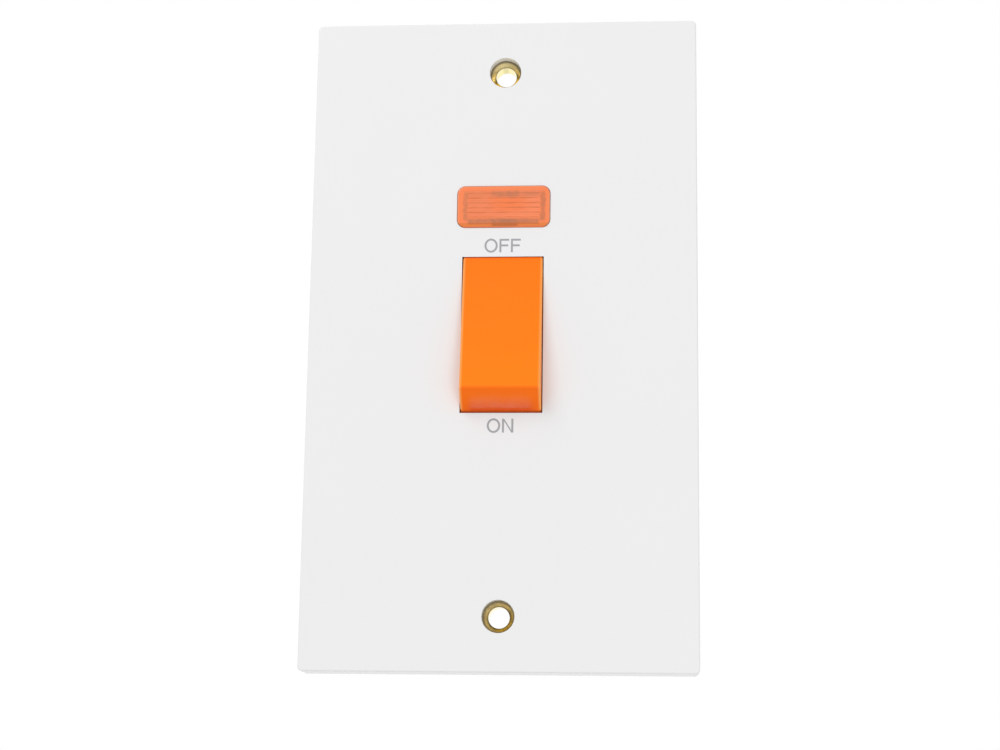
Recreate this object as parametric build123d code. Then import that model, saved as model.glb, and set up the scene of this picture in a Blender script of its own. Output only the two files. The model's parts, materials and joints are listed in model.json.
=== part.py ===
from build123d import *
import math
import os

# Double pole switch on a tall wall plate, in millimetres.
# X runs to the right seen from the front, Y runs into the wall and Z runs up.
# The origin is the middle of the plate's back rim, on the wall plane.
# It stands at OFF, with the top of the rocker pressed in.

# Wall plate
PLATE_WIDTH = 84.4
PLATE_HEIGHT = 144.0
PLATE_DEPTH = 7.0
FACE_WALL = 3.0
RIM_WALL = 3.0
CORNER_RADIUS = 1.1
FRONT_EDGE_RADIUS = 0.35
RIB_WALL = 1.5
RIB_BELOW_RIM = 1.5
RIB_X = 29.0

# Wall fixing holes and their eyelets
FIXING_FROM_END = 11.7
FIXING_HOLE_DIAMETER = 7.0
EYELET_RECESS = 2.0
EYELET_FIT = 0.05
EYELET_BORE = 4.55
EYELET_WALL = 0.6
EYELET_EDGE = 0.15
EYELET_CUP_DEPTH = 1.4
EYELET_CONE_DEPTH = 1.1
EYELET_LIP = 0.6
EYELET_LIP_REACH = 0.9
EYELET_BELOW_RIM = 0.4
BOSS_WALL = 3.0

# Earth strap and terminal
STRAP_WIDTH = 9.0
STRAP_THICKNESS = 1.0
EARTH_BLOCK_SIZE = 8.5
EARTH_BLOCK_DEPTH = 10.0
EARTH_BORE = 4.2
EARTH_BORE_ABOVE_WALL = 1.1
EARTH_RIVET_DIAMETER = 3.2
EARTH_RIVET_HEAD = 0.5
EARTH_RIVET_REACH = 0.8
EARTH_SCREW_LENGTH = 7.0

# Rocker and its opening
OPENING_LENGTH = 34.7
OPENING_CENTRE_Z = 0.6
PIVOT_BEHIND_FACE = 11.5
ROCKER_SWING = 17.6
ROCKER_WIDTH = 17.4
ROCKER_SIDE_GAP = 0.2
ROCKER_END_GAP = 0.2
ROCKER_WALL = 1.6
ROCKER_FACE_WALL = 1.8
ROCKER_EDGE_RADIUS = 0.5
SKIRT_OVERLAP = 1.6
TRUNNION_DIAMETER = 4.0
TRUNNION_BEARING = 2.2
TRUNNION_CLEARANCE = 0.04
TRUNNION_END_GAP = 0.2
HUB_WALL = 1.2

# Plungers and springs
PLUNGER_DIAMETER = 3.5
PLUNGER_CLEARANCE = 0.05
PLUNGER_REACH = 8.0
PLUNGER_STEM = 5.0
PLUNGER_LEVER_GAP = 0.05
TUBE_WALL = 0.9
TUBE_BEHIND_PIVOT = 1.0
TUBE_END_WALL = 0.6
SPRING_WIRE = 0.5
SPRING_SIDE_GAP = 0.2
SPRING_END_GAP = 0.05
SPRING_TURNS = 6

# Moulded frame behind the plate
CHEEK_GAP = 0.5
CHEEK_WALL = 2.6
SKIRT_CLEARANCE = 0.4
SKIRT_FLOOR_CLEARANCE = 1.7
TURRET_END_WALL = 1.3
FLANGE_THICKNESS = 2.5
WINDOW_HALF_LENGTH = 8.0

# Contact levers
BARRIER_THICKNESS = 2.0
LEVER_SIDE_GAP = 0.6
LEVER_WIDTH = 6.0
LEVER_THICKNESS = 1.5
LEVER_HALF_LENGTH = 13.5
LEVER_SWING = 16.0
LEVER_END_GAP = 0.5
KNUCKLE_RADIUS = 1.5
KNUCKLE_CLEARANCE = 0.05
KNUCKLE_INSET = 0.5
SADDLE_HALF_LENGTH = 2.6
SADDLE_CLEARANCE = 0.1
REST_CLEARANCE = 0.08
REST_LENGTH = 2.0

# Contacts
CONTACT_FROM_PIVOT = 11.5
CONTACT_DIAMETER = 4.0
CONTACT_DISC = 0.6
CONTACT_DOME = 0.4
CONTACT_SHANK_DIAMETER = 1.8
CONTACT_GAP_CLOSED = 0.05
FIXED_CONTACT_DIAMETER = 4.6
FIXED_CONTACT_HEIGHT = 0.9

# Strips and terminals
STRIP_THICKNESS = 1.2
TONGUE_WIDTH = 5.0
POCKET_CLEARANCE = 0.2
POCKET_WALL = 1.0
TERMINAL_WIDTH = 10.0
TERMINAL_LENGTH = 13.0
TERMINAL_BORE = 6.2
TERMINAL_FRONT_WALL = 1.0
SCREW_PITCH = 6.4
SCREW_SHANK_DIAMETER = 3.9
SCREW_THREAD_CLEARANCE = 0.05
SCREW_PASS_CLEARANCE = 0.3
SCREW_HEAD_DIAMETER = 5.8
SCREW_HEAD_HEIGHT = 2.0
SCREW_SLOT_WIDTH = 0.9
SCREW_SLOT_DEPTH = 1.1
SCREW_BACK_OFF = 0.15
TERMINAL_SCREW_LENGTH = 7.0

# Moulded base
BASE_WALL = 2.0
BASE_FLOOR = 3.0
BASE_CORNER_RADIUS = 2.0
BASE_EDGE_RADIUS = 0.8
CABLE_CLEARANCE = 0.4
SCREW_WINDOW_CLEARANCE = 0.3
SHROUD_WALL = 1.2
SHROUD_HEIGHT = 2.2
EAR_DIAMETER = 7.6
EAR_THICKNESS = 2.5
EAR_INSET = 10.4
EAR_OVERHANG = 3.4
GUIDE_THICKNESS = 1.2
GUIDE_HALF_LENGTH = 5.0
GUIDE_ABOVE_LEVER = 3.0

# Screws that hold the base and the frame to the plate
FIX_SCREW_SHANK_DIAMETER = 2.9
FIX_SCREW_PASS_CLEARANCE = 0.2
FIX_SCREW_HEAD_DIAMETER = 5.6
FIX_SCREW_LENGTH = 12.0
POST_DIAMETER = 6.8
POST_HOLE_CLEARANCE = 0.05
POST_HOLE_SPARE = 1.0

# Neon lens
LENS_WIDTH = 20.3
LENS_HEIGHT = 9.35
LENS_CORNER_RADIUS = 1.8
LENS_EDGE_RADIUS = 0.4
LENS_GAP = 0.1
LENS_PROUD = 0.4
LENS_FACE_WALL = 1.2
LENS_SIDE_WALL = 1.0
LENS_DEPTH = 5.0
LENS_RIB_COUNT = 10
LENS_RIB_PITCH = 0.5
LENS_RIB_BASE = 0.42
LENS_RIB_HEIGHT = 0.25
LENS_RIB_LENGTH = 15.9
HOOK_WIDTH = 5.5
HOOK_REACH = 0.5
HOOK_THICKNESS = 1.0
HOOK_CLEARANCE = 0.05

# Neon lamp, its tray and its leads
HOLDER_WALL = 0.8
HOLDER_REAR_WALL = 1.2
HOLDER_HOOK_CLEARANCE = 0.2
HOLDER_RESISTOR_CLEARANCE = 0.2
HOLDER_TURRET_GAP = 0.2
HOLDER_END_ROOM = 1.0
HOLDER_EAR_LENGTH = 4.6
HOLDER_EAR_THICKNESS = 1.5
HOLDER_EAR_HALF_HEIGHT = 3.0
PEG_DIAMETER = 2.4
PEG_CLEARANCE = 0.05
PEG_HEAD_DIAMETER = 3.8
PEG_HEAD_HEIGHT = 0.8
LAMP_DIAMETER = 5.4
LAMP_GLASS = 0.5
LAMP_BEHIND_LENS_RIM = 1.8
LAMP_BODY_HALF_LENGTH = 5.0
LAMP_DOME = 1.8
LAMP_PINCH = 2.0
LAMP_PINCH_DIAMETER = 3.2
LAMP_SEAT_CLEARANCE = 0.05
LAMP_REAR_ROOM = 0.9
SEAT_THICKNESS = 1.2
SEAT_X = 4.0
SEAT_RESISTOR_GAP = 0.25
SEAT_BEHIND_AXIS = 1.0
ELECTRODE_DIAMETER = 0.7
ELECTRODE_SPACING = 1.6
ELECTRODE_INSIDE = 7.0
ELECTRODE_BEND = 1.2
RESISTOR_DIAMETER = 2.2
RESISTOR_LENGTH = 8.0
RESISTOR_CAP_LENGTH = 1.4
RESISTOR_CAP_STEP = 0.15
RESISTOR_LAMP_GAP = 0.5
RESISTOR_BACK = 1.9
TAIL_DIAMETER = 0.6
LEAD_DIAMETER = 1.4
LEAD_BEND = 3.5
LEAD_STRAIGHT = 0.3
LEAD_CLEARANCE = 0.2
LEAD_TURRET_GAP = 0.55
LEAD_FROM_TERMINAL_AXIS = 3.0
LEAD_SOCKET = 1.5

# Depths along Y that follow from the sizes above
Y_FRONT = -PLATE_DEPTH
Y_INNER = Y_FRONT + FACE_WALL
Y_PIVOT = Y_FRONT + PIVOT_BEHIND_FACE
Z_PIVOT = OPENING_CENTRE_Z

# Rocker section: its ends turn about the pivot, and its pressed end is level with the plate
HALF_SWING = ROCKER_SWING / 2
OPENING_RADIUS = math.hypot(OPENING_LENGTH / 2, PIVOT_BEHIND_FACE)
ROCKER_RADIUS = OPENING_RADIUS - ROCKER_END_GAP
PRESSED_ANGLE = math.degrees(math.acos(PIVOT_BEHIND_FACE / ROCKER_RADIUS))
EDGE_ANGLE = math.radians(PRESSED_ANGLE - HALF_SWING)
ROCKER_FACE = ROCKER_RADIUS * math.cos(EDGE_ANGLE)
RAISED_SKIRT = PIVOT_BEHIND_FACE - FACE_WALL - SKIRT_OVERLAP
SKIRT_ANGLE = math.degrees(math.acos(RAISED_SKIRT / ROCKER_RADIUS)) + HALF_SWING
SKIRT_REAR = ROCKER_RADIUS * math.cos(math.radians(SKIRT_ANGLE))
SKIRT_LOWEST = ROCKER_RADIUS * math.cos(math.radians(SKIRT_ANGLE + HALF_SWING))
ROCKER_HALF = ROCKER_WIDTH / 2
TRUNNION_RADIUS = TRUNNION_DIAMETER / 2
HUB_RADIUS = TRUNNION_RADIUS + HUB_WALL

# Frame and lever places
CAVITY_HALF_WIDTH = ROCKER_HALF + CHEEK_GAP
TURRET_HALF_WIDTH = CAVITY_HALF_WIDTH + CHEEK_WALL
CAVITY_HALF_HEIGHT = ROCKER_RADIUS + SKIRT_CLEARANCE
TURRET_HALF_HEIGHT = CAVITY_HALF_HEIGHT + TURRET_END_WALL
Y_FLANGE = Y_PIVOT - SKIRT_LOWEST + SKIRT_FLOOR_CLEARANCE
Y_PARTING = Y_FLANGE + FLANGE_THICKNESS
POLE_X = BARRIER_THICKNESS / 2 + LEVER_SIDE_GAP + LEVER_WIDTH / 2
Y_LEVER = Y_PIVOT + PLUNGER_REACH + PLUNGER_LEVER_GAP + LEVER_THICKNESS
LEVER_TILT = math.radians(LEVER_SWING / 2)

# Closed contacts: the dome of the moving contact stands just off the fixed one
CONTACT_RADIUS = CONTACT_DIAMETER / 2
CONTACT_HEIGHT = CONTACT_DISC + CONTACT_DOME
DOME_RADIUS = (CONTACT_RADIUS ** 2 + CONTACT_DOME ** 2) / (2 * CONTACT_DOME)
DOME_CENTRE = CONTACT_HEIGHT - DOME_RADIUS
DOME_REACH = DOME_CENTRE * math.cos(LEVER_TILT) + CONTACT_FROM_PIVOT * math.sin(LEVER_TILT) + DOME_RADIUS
CLOSED_CONTACT_Z = CONTACT_FROM_PIVOT * math.cos(LEVER_TILT) - DOME_CENTRE * math.sin(LEVER_TILT)
Y_FIXED_CONTACT = Y_LEVER + DOME_REACH + CONTACT_GAP_CLOSED
Y_STRIP = Y_FIXED_CONTACT + FIXED_CONTACT_HEIGHT
Y_FLOOR = Y_STRIP + STRIP_THICKNESS
Y_REAR = Y_FLOOR + BASE_FLOOR

# Terminals and base outline
LEAD_RADIUS = LEAD_DIAMETER / 2
LEAD_X = TURRET_HALF_WIDTH + LEAD_TURRET_GAP + LEAD_RADIUS
TERMINAL_X = LEAD_X - LEAD_FROM_TERMINAL_AXIS
LEVER_POCKET_END = LEVER_HALF_LENGTH + LEVER_END_GAP
CONTACT_POCKET_END = CLOSED_CONTACT_Z + FIXED_CONTACT_DIAMETER / 2 + POCKET_CLEARANCE
POCKET_END = max(LEVER_POCKET_END, CONTACT_POCKET_END)
TERMINAL_INNER_END = POCKET_END + POCKET_WALL + POCKET_CLEARANCE
TERMINAL_OUTER_END = TERMINAL_INNER_END + TERMINAL_LENGTH
TERMINAL_MIDDLE = (TERMINAL_INNER_END + TERMINAL_OUTER_END) / 2
BASE_INNER_HALF_WIDTH = TERMINAL_X + TERMINAL_WIDTH / 2 + 2 * POCKET_CLEARANCE
BASE_INNER_HALF_HEIGHT = TERMINAL_OUTER_END + POCKET_CLEARANCE
BASE_HALF_WIDTH = BASE_INNER_HALF_WIDTH + BASE_WALL
BASE_HALF_HEIGHT = BASE_INNER_HALF_HEIGHT + BASE_WALL
FLANGE_HALF_HEIGHT = max(BASE_HALF_HEIGHT, TURRET_HALF_HEIGHT)
Y_TERMINAL_FRONT = Y_PARTING + POCKET_CLEARANCE
Y_TERMINAL_BORE = Y_TERMINAL_FRONT + TERMINAL_FRONT_WALL + TERMINAL_BORE / 2
EAR_X = BASE_HALF_WIDTH + EAR_OVERHANG
EAR_Z = BASE_HALF_HEIGHT - EAR_INSET
Y_EAR_REAR = Y_PARTING + EAR_THICKNESS

# Lens, lamp and lead places
Y_LENS = Y_FRONT - LENS_PROUD
Y_LENS_RIM = Y_LENS + LENS_DEPTH
LAMP_RADIUS = LAMP_DIAMETER / 2
RESISTOR_RADIUS = RESISTOR_DIAMETER / 2
RESISTOR_FROM_LAMP = LAMP_RADIUS + RESISTOR_RADIUS + RESISTOR_LAMP_GAP
RESISTOR_RISE = math.sqrt(RESISTOR_FROM_LAMP ** 2 - RESISTOR_BACK ** 2)
HOOK_TIP = LENS_HEIGHT / 2 + HOOK_REACH
HOLDER_INNER_HALF_HEIGHT = max(HOOK_TIP + HOLDER_HOOK_CLEARANCE,
                               RESISTOR_RISE + RESISTOR_RADIUS + HOLDER_RESISTOR_CLEARANCE)
HOLDER_HALF_HEIGHT = HOLDER_INNER_HALF_HEIGHT + HOLDER_WALL
LENS_Z = Z_PIVOT + TURRET_HALF_HEIGHT + HOLDER_TURRET_GAP + HOLDER_HALF_HEIGHT
HOLDER_INNER_HALF_WIDTH = max(LEAD_X + LEAD_RADIUS + HOLDER_END_ROOM, LENS_WIDTH / 2 + HOLDER_END_ROOM)
HOLDER_HALF_WIDTH = HOLDER_INNER_HALF_WIDTH + HOLDER_WALL
Y_LAMP = Y_LENS_RIM + LAMP_BEHIND_LENS_RIM
Y_HOLDER_FLOOR = Y_LAMP + LAMP_RADIUS + LAMP_REAR_ROOM
Y_HOLDER_REAR = Y_HOLDER_FLOOR + HOLDER_REAR_WALL
PEG_X = HOLDER_HALF_WIDTH + HOLDER_EAR_LENGTH / 2
PINCH_END_X = -LAMP_BODY_HALF_LENGTH - LAMP_PINCH
WIRE_END_X = LEAD_BEND + LEAD_STRAIGHT - LEAD_X
Y_RESISTOR = Y_LAMP + RESISTOR_BACK
Z_RESISTOR = LENS_Z + RESISTOR_RISE
SEAT_HALF_HEIGHT = RESISTOR_RISE - RESISTOR_RADIUS - SEAT_RESISTOR_GAP
LEAD_Z = LENS_Z - HOLDER_HALF_HEIGHT - LEAD_BEND - LEAD_CLEARANCE

# Fixing holes, ribs, and the earth terminal midway between the upper rib and the upper eyelet
FIXING_PITCH = PLATE_HEIGHT - 2 * FIXING_FROM_END
FIXING_Z = FIXING_PITCH / 2
Y_LIP_SEAT = -EYELET_BELOW_RIM - EYELET_LIP
EYELET_TUBE_RADIUS = EYELET_BORE / 2 + EYELET_WALL
EYELET_LIP_RADIUS = EYELET_TUBE_RADIUS + EYELET_LIP_REACH
BOSS_RADIUS = EYELET_TUBE_RADIUS + BOSS_WALL
RIB_Z = LENS_Z + HOLDER_HALF_HEIGHT + RIB_WALL
EARTH_Z = (RIB_Z + RIB_WALL / 2 + FIXING_Z - EYELET_LIP_RADIUS) / 2
Y_STRAP = Y_LIP_SEAT - STRAP_THICKNESS
Y_EARTH_BORE = EARTH_BORE_ABOVE_WALL + EARTH_BORE / 2
Y_EARTH_REAR = Y_LIP_SEAT + EARTH_BLOCK_DEPTH
EARTH_PAD_HALF = EARTH_BLOCK_SIZE / 2 + RIB_WALL / 2

# How far a cutting tool runs past the face that it cuts
RUN_OUT = 1.0

# Places of the rocker and the levers at OFF
ROCKER_REST = Pos(0, Y_PIVOT, Z_PIVOT) * Rot(-HALF_SWING, 0, 0)
LEVER_REST = Pos(0, Y_LEVER, Z_PIVOT) * Rot(LEVER_SWING / 2, 0, 0)

SIDES = (-1, 1)
SIDE_NAMES = {-1: "left", 1: "right"}


def slab(x0, x1, y0, y1, z0, z1):
    """Block between two opposite corners."""
    middle = Pos((x0 + x1) / 2, (y0 + y1) / 2, (z0 + z1) / 2)
    return middle * Box(abs(x1 - x0), abs(y1 - y0), abs(z1 - z0))


def rod_x(radius, x0, x1, y, z):
    """Round rod along X."""
    return Pos((x0 + x1) / 2, y, z) * Rot(0, 90, 0) * Cylinder(radius, abs(x1 - x0))


def rod_y(radius, y0, y1, x=0.0, z=0.0):
    """Round rod along Y."""
    return Pos(x, (y0 + y1) / 2, z) * Rot(90, 0, 0) * Cylinder(radius, abs(y1 - y0))


def rod_z(radius, z0, z1, x, y):
    """Round rod along Z."""
    return Pos(x, y, (z0 + z1) / 2) * Cylinder(radius, abs(z1 - z0))


def rounded_slab(width, height, radius, y0, y1, x=0.0, z=0.0):
    """Block with its corners rounded as seen from the front."""
    plane = Plane(origin=(x, y0, z), x_dir=(1, 0, 0), z_dir=(0, 1, 0))
    return extrude(plane * RectangleRounded(width, height, radius), amount=y1 - y0)


def turned(points):
    """Solid turned about the Y axis from (radius, y) points."""
    return revolve(make_face(Polyline(*points, close=True)), axis=Axis.Y)


def wire_along(points, radius, bend):
    """Round wire along straight runs with tangent arcs."""
    path = FilletPolyline(*points, radius=bend)
    section = Plane(origin=path @ 0, z_dir=path % 0) * Circle(radius)
    return sweep(section, path=path)


def slotted_screw(shank_radius, length, head_radius):
    """Slotted screw along Y: its head's underside at the origin, its tip at minus its length."""
    screw = rod_y(shank_radius, -length, 0) + rod_y(head_radius, 0, SCREW_HEAD_HEIGHT)
    slot_floor = SCREW_HEAD_HEIGHT - SCREW_SLOT_DEPTH
    half_slot = SCREW_SLOT_WIDTH / 2
    reach = head_radius + RUN_OUT
    return screw - slab(-reach, reach, slot_floor, SCREW_HEAD_HEIGHT + RUN_OUT, -half_slot, half_slot)


def front_plate():
    """Hollow moulded plate with its openings, bosses, posts, pegs and ribs."""
    plate = rounded_slab(PLATE_WIDTH, PLATE_HEIGHT, CORNER_RADIUS, Y_FRONT, 0)
    plate = fillet(plate.faces().sort_by(Axis.Y)[0].edges(), FRONT_EDGE_RADIUS)
    hollow_width = PLATE_WIDTH - 2 * RIM_WALL
    hollow_height = PLATE_HEIGHT - 2 * RIM_WALL
    plate -= rounded_slab(hollow_width, hollow_height, CORNER_RADIUS, Y_INNER, RUN_OUT)
    plate += plate_ribs(hollow_width / 2, hollow_height / 2)
    plate += rod_y(BOSS_RADIUS, Y_INNER, Y_STRAP, 0, FIXING_Z)
    plate += rod_y(BOSS_RADIUS, Y_INNER, Y_LIP_SEAT, 0, -FIXING_Z)
    plate += slab(-EARTH_PAD_HALF, EARTH_PAD_HALF, Y_INNER, Y_STRAP,
                  EARTH_Z - EARTH_PAD_HALF, EARTH_Z + EARTH_PAD_HALF)
    plate -= rod_y(EARTH_RIVET_DIAMETER / 2 + EARTH_RIVET_REACH + EYELET_FIT,
                   Y_STRAP - EARTH_RIVET_HEAD - EYELET_FIT, Y_STRAP + RUN_OUT, 0, EARTH_Z)
    for side in SIDES:
        plate += holder_peg(side)
        for end in SIDES:
            plate += frame_post(side, end)
    for end in SIDES:
        plate -= eyelet_seat(end * FIXING_Z)
    plate -= rocker_opening()
    return plate - rounded_slab(LENS_WIDTH + 2 * LENS_GAP, LENS_HEIGHT + 2 * LENS_GAP,
                                LENS_CORNER_RADIUS + LENS_GAP, Y_FRONT - RUN_OUT, Y_INNER + RUN_OUT,
                                0, LENS_Z)


def plate_ribs(half_width, half_height):
    """Stiffening ribs on the plate's back."""
    half_wall = RIB_WALL / 2
    rear = -RIB_BELOW_RIM
    ribs = Part()
    for side in SIDES:
        x = side * RIB_X
        z = side * RIB_Z
        ribs += slab(x - half_wall, x + half_wall, Y_INNER, rear, -half_height, half_height)
        ribs += slab(-half_width, half_width, Y_INNER, rear, z - half_wall, z + half_wall)
    return ribs + slab(-half_wall, half_wall, Y_INNER, rear, -FIXING_Z, -RIB_Z)


def holder_peg(side):
    """Peg with a staked head that holds one ear of the lamp tray."""
    x = side * PEG_X
    ear_rear = Y_INNER + HOLDER_EAR_THICKNESS
    peg = rod_y(PEG_DIAMETER / 2, Y_INNER, ear_rear, x, LENS_Z)
    return peg + rod_y(PEG_HEAD_DIAMETER / 2, ear_rear, ear_rear + PEG_HEAD_HEIGHT, x, LENS_Z)


def frame_post(side, end):
    """Post with a blind hole for one of the screws that hold the frame and the base."""
    x = side * EAR_X
    z = Z_PIVOT + end * EAR_Z
    hole_radius = FIX_SCREW_SHANK_DIAMETER / 2 + POST_HOLE_CLEARANCE
    hole_end = Y_EAR_REAR - FIX_SCREW_LENGTH - POST_HOLE_SPARE
    post = rod_y(POST_DIAMETER / 2, Y_INNER, Y_FLANGE, x, z)
    return post - rod_y(hole_radius, hole_end, Y_FLANGE + RUN_OUT, x, z)


def eyelet_seat(z):
    """Cut for one eyelet: a wide front hole for its cup and a narrower hole for its tube."""
    cup_floor = Y_FRONT + EYELET_RECESS + EYELET_CUP_DEPTH
    wide = rod_y(FIXING_HOLE_DIAMETER / 2, Y_FRONT - RUN_OUT, cup_floor, 0, z)
    return wide + rod_y(EYELET_TUBE_RADIUS + EYELET_FIT, cup_floor, RUN_OUT, 0, z)


def rocker_opening():
    """Cut for the rocker, with end walls that are round about the rocker's pivot."""
    half_width = ROCKER_HALF + ROCKER_SIDE_GAP
    through = slab(-half_width, half_width, Y_FRONT - RUN_OUT, Y_INNER + RUN_OUT,
                   Z_PIVOT - OPENING_RADIUS, Z_PIVOT + OPENING_RADIUS)
    return through & rod_x(OPENING_RADIUS, -half_width, half_width, Y_PIVOT, Z_PIVOT)


def eyelet(z):
    """Brass eyelet with a countersunk cup in front and a rolled lip behind."""
    cup_front = Y_FRONT + EYELET_RECESS
    cup_floor = cup_front + EYELET_CUP_DEPTH
    cup_radius = FIXING_HOLE_DIAMETER / 2 - EYELET_FIT
    bore_radius = EYELET_BORE / 2
    lip_rear = Y_LIP_SEAT + EYELET_LIP
    outline = [
        (cup_radius - EYELET_EDGE, cup_front),
        (cup_radius, cup_front),
        (cup_radius, cup_floor),
        (EYELET_TUBE_RADIUS, cup_floor),
        (EYELET_TUBE_RADIUS, Y_LIP_SEAT),
        (EYELET_LIP_RADIUS, Y_LIP_SEAT),
        (EYELET_LIP_RADIUS, lip_rear),
        (bore_radius, lip_rear),
        (bore_radius, cup_front + EYELET_CONE_DEPTH),
    ]
    return Pos(0, 0, z) * turned(outline)


def earth_strap():
    """Brass strap from the upper eyelet to the earth terminal."""
    half_width = STRAP_WIDTH / 2
    strap = slab(-half_width, half_width, Y_STRAP, Y_LIP_SEAT, EARTH_Z - half_width, FIXING_Z)
    strap += rod_y(half_width, Y_STRAP, Y_LIP_SEAT, 0, FIXING_Z)
    strap -= rod_y(EYELET_TUBE_RADIUS + EYELET_FIT, Y_STRAP - RUN_OUT, RUN_OUT, 0, FIXING_Z)
    return strap - rod_y(EARTH_RIVET_DIAMETER / 2 + EYELET_FIT, Y_STRAP - RUN_OUT, RUN_OUT, 0, EARTH_Z)


def earth_terminal():
    """Brass tunnel terminal riveted to the strap, open to both sides."""
    half = EARTH_BLOCK_SIZE / 2
    rivet_radius = EARTH_RIVET_DIAMETER / 2
    block = slab(-half, half, Y_LIP_SEAT, Y_EARTH_REAR, EARTH_Z - half, EARTH_Z + half)
    block += rod_y(rivet_radius, Y_STRAP, Y_LIP_SEAT, 0, EARTH_Z)
    block += rod_y(rivet_radius + EARTH_RIVET_REACH, Y_STRAP - EARTH_RIVET_HEAD, Y_STRAP, 0, EARTH_Z)
    block -= rod_x(EARTH_BORE / 2, -half - RUN_OUT, half + RUN_OUT, Y_EARTH_BORE, EARTH_Z)
    thread_radius = SCREW_SHANK_DIAMETER / 2 + SCREW_THREAD_CLEARANCE
    return block - rod_y(thread_radius, Y_EARTH_BORE, Y_EARTH_REAR + RUN_OUT, 0, EARTH_Z)


def earth_screw():
    """Clamping screw of the earth terminal, backed out of its bore."""
    tip = Y_EARTH_BORE + EARTH_BORE / 2 + SCREW_BACK_OFF
    screw = slotted_screw(SCREW_SHANK_DIAMETER / 2, EARTH_SCREW_LENGTH, SCREW_HEAD_DIAMETER / 2)
    return Pos(0, tip + EARTH_SCREW_LENGTH, EARTH_Z) * screw


def rocker_segment(radius, face, half_width, rear):
    """Slice of a round bar about the pivot, between the front face and a plane behind it."""
    bar = rod_x(radius, -half_width, half_width, 0, 0)
    return bar & slab(-half_width, half_width, -face, -rear, -radius, radius)


def rocker():
    """Hollow rocker about its pivot, with curved ends, trunnions and plunger tubes."""
    shell = rocker_segment(ROCKER_RADIUS, ROCKER_FACE, ROCKER_HALF, SKIRT_REAR)
    rear_plane = shell.faces().sort_by(Axis.Y)[-1].center().Y
    outer_edges = shell.edges().filter_by(lambda edge: edge.center().Y < rear_plane - ROCKER_EDGE_RADIUS)
    shell = fillet(outer_edges, ROCKER_EDGE_RADIUS)
    inner_face = ROCKER_FACE - ROCKER_FACE_WALL
    inner_half = ROCKER_HALF - ROCKER_WALL
    shell -= rocker_segment(ROCKER_RADIUS - ROCKER_WALL, inner_face, inner_half, SKIRT_REAR - RUN_OUT)
    bore_radius = PLUNGER_DIAMETER / 2 + PLUNGER_CLEARANCE
    for side in SIDES:
        x = side * POLE_X
        inner_x = side * inner_half
        outer_x = side * ROCKER_HALF
        shell += rod_x(HUB_RADIUS, inner_x, outer_x, 0, 0)
        shell += slab(inner_x, outer_x, -SKIRT_REAR - ROCKER_WALL, 0, -HUB_RADIUS, HUB_RADIUS)
        trunnion_end = side * (CAVITY_HALF_WIDTH + TRUNNION_BEARING)
        shell += rod_x(TRUNNION_RADIUS, outer_x, trunnion_end, 0, 0)
        shell += rod_y(bore_radius + TUBE_WALL, -inner_face, TUBE_BEHIND_PIVOT, x, 0)
    bore_start = -inner_face + TUBE_END_WALL
    bore_end = max(TUBE_BEHIND_PIVOT, HUB_RADIUS) + RUN_OUT
    for side in SIDES:
        shell -= rod_y(bore_radius, bore_start, bore_end, side * POLE_X, 0)
    return ROCKER_REST * shell


def plunger(side):
    """Round-nosed plunger in one of the rocker's tubes."""
    radius = PLUNGER_DIAMETER / 2
    nose = PLUNGER_REACH - radius
    diagonal = radius / math.sqrt(2)
    outline = Line((0, -PLUNGER_STEM), (radius, -PLUNGER_STEM))
    outline += Line((radius, -PLUNGER_STEM), (radius, nose))
    outline += ThreePointArc((radius, nose), (diagonal, nose + diagonal), (0, PLUNGER_REACH))
    outline += Line((0, PLUNGER_REACH), (0, -PLUNGER_STEM))
    solid = revolve(make_face(outline), axis=Axis.Y)
    return ROCKER_REST * Pos(side * POLE_X, 0, 0) * solid


def plunger_spring(side):
    """Coil spring between the end of the tube and the plunger."""
    wire_radius = SPRING_WIRE / 2
    tube_end = ROCKER_FACE - ROCKER_FACE_WALL - TUBE_END_WALL
    room = tube_end - PLUNGER_STEM - 2 * SPRING_END_GAP
    height = room - SPRING_WIRE
    coil_radius = PLUNGER_DIAMETER / 2 + PLUNGER_CLEARANCE - SPRING_SIDE_GAP - wire_radius
    path = Helix(pitch=height / SPRING_TURNS, height=height, radius=coil_radius)
    section = Plane(origin=path @ 0, z_dir=path % 0) * Circle(wire_radius)
    coil = sweep(section, path=path, is_frenet=True)
    start = PLUNGER_STEM + SPRING_END_GAP + wire_radius
    return ROCKER_REST * Pos(side * POLE_X, -start, 0) * Rot(90, 0, 0) * coil


def fixing_ears(y0, y1):
    """Four round ears at one depth, joined to the sides of the base and the frame."""
    ears = Part()
    for side in SIDES:
        for end in SIDES:
            x = side * EAR_X
            z = Z_PIVOT + end * EAR_Z
            radius = EAR_DIAMETER / 2
            ears += rod_y(radius, y0, y1, x, z)
            ears += slab(side * BASE_INNER_HALF_WIDTH, x, y0, y1, z - radius, z + radius)
    return ears


def fixing_ear_holes(y0, y1):
    """Screw holes through the four ears."""
    radius = FIX_SCREW_SHANK_DIAMETER / 2 + FIX_SCREW_PASS_CLEARANCE
    holes = Part()
    for side in SIDES:
        for end in SIDES:
            holes += rod_y(radius, y0 - RUN_OUT, y1 + RUN_OUT, side * EAR_X, Z_PIVOT + end * EAR_Z)
    return holes


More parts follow.
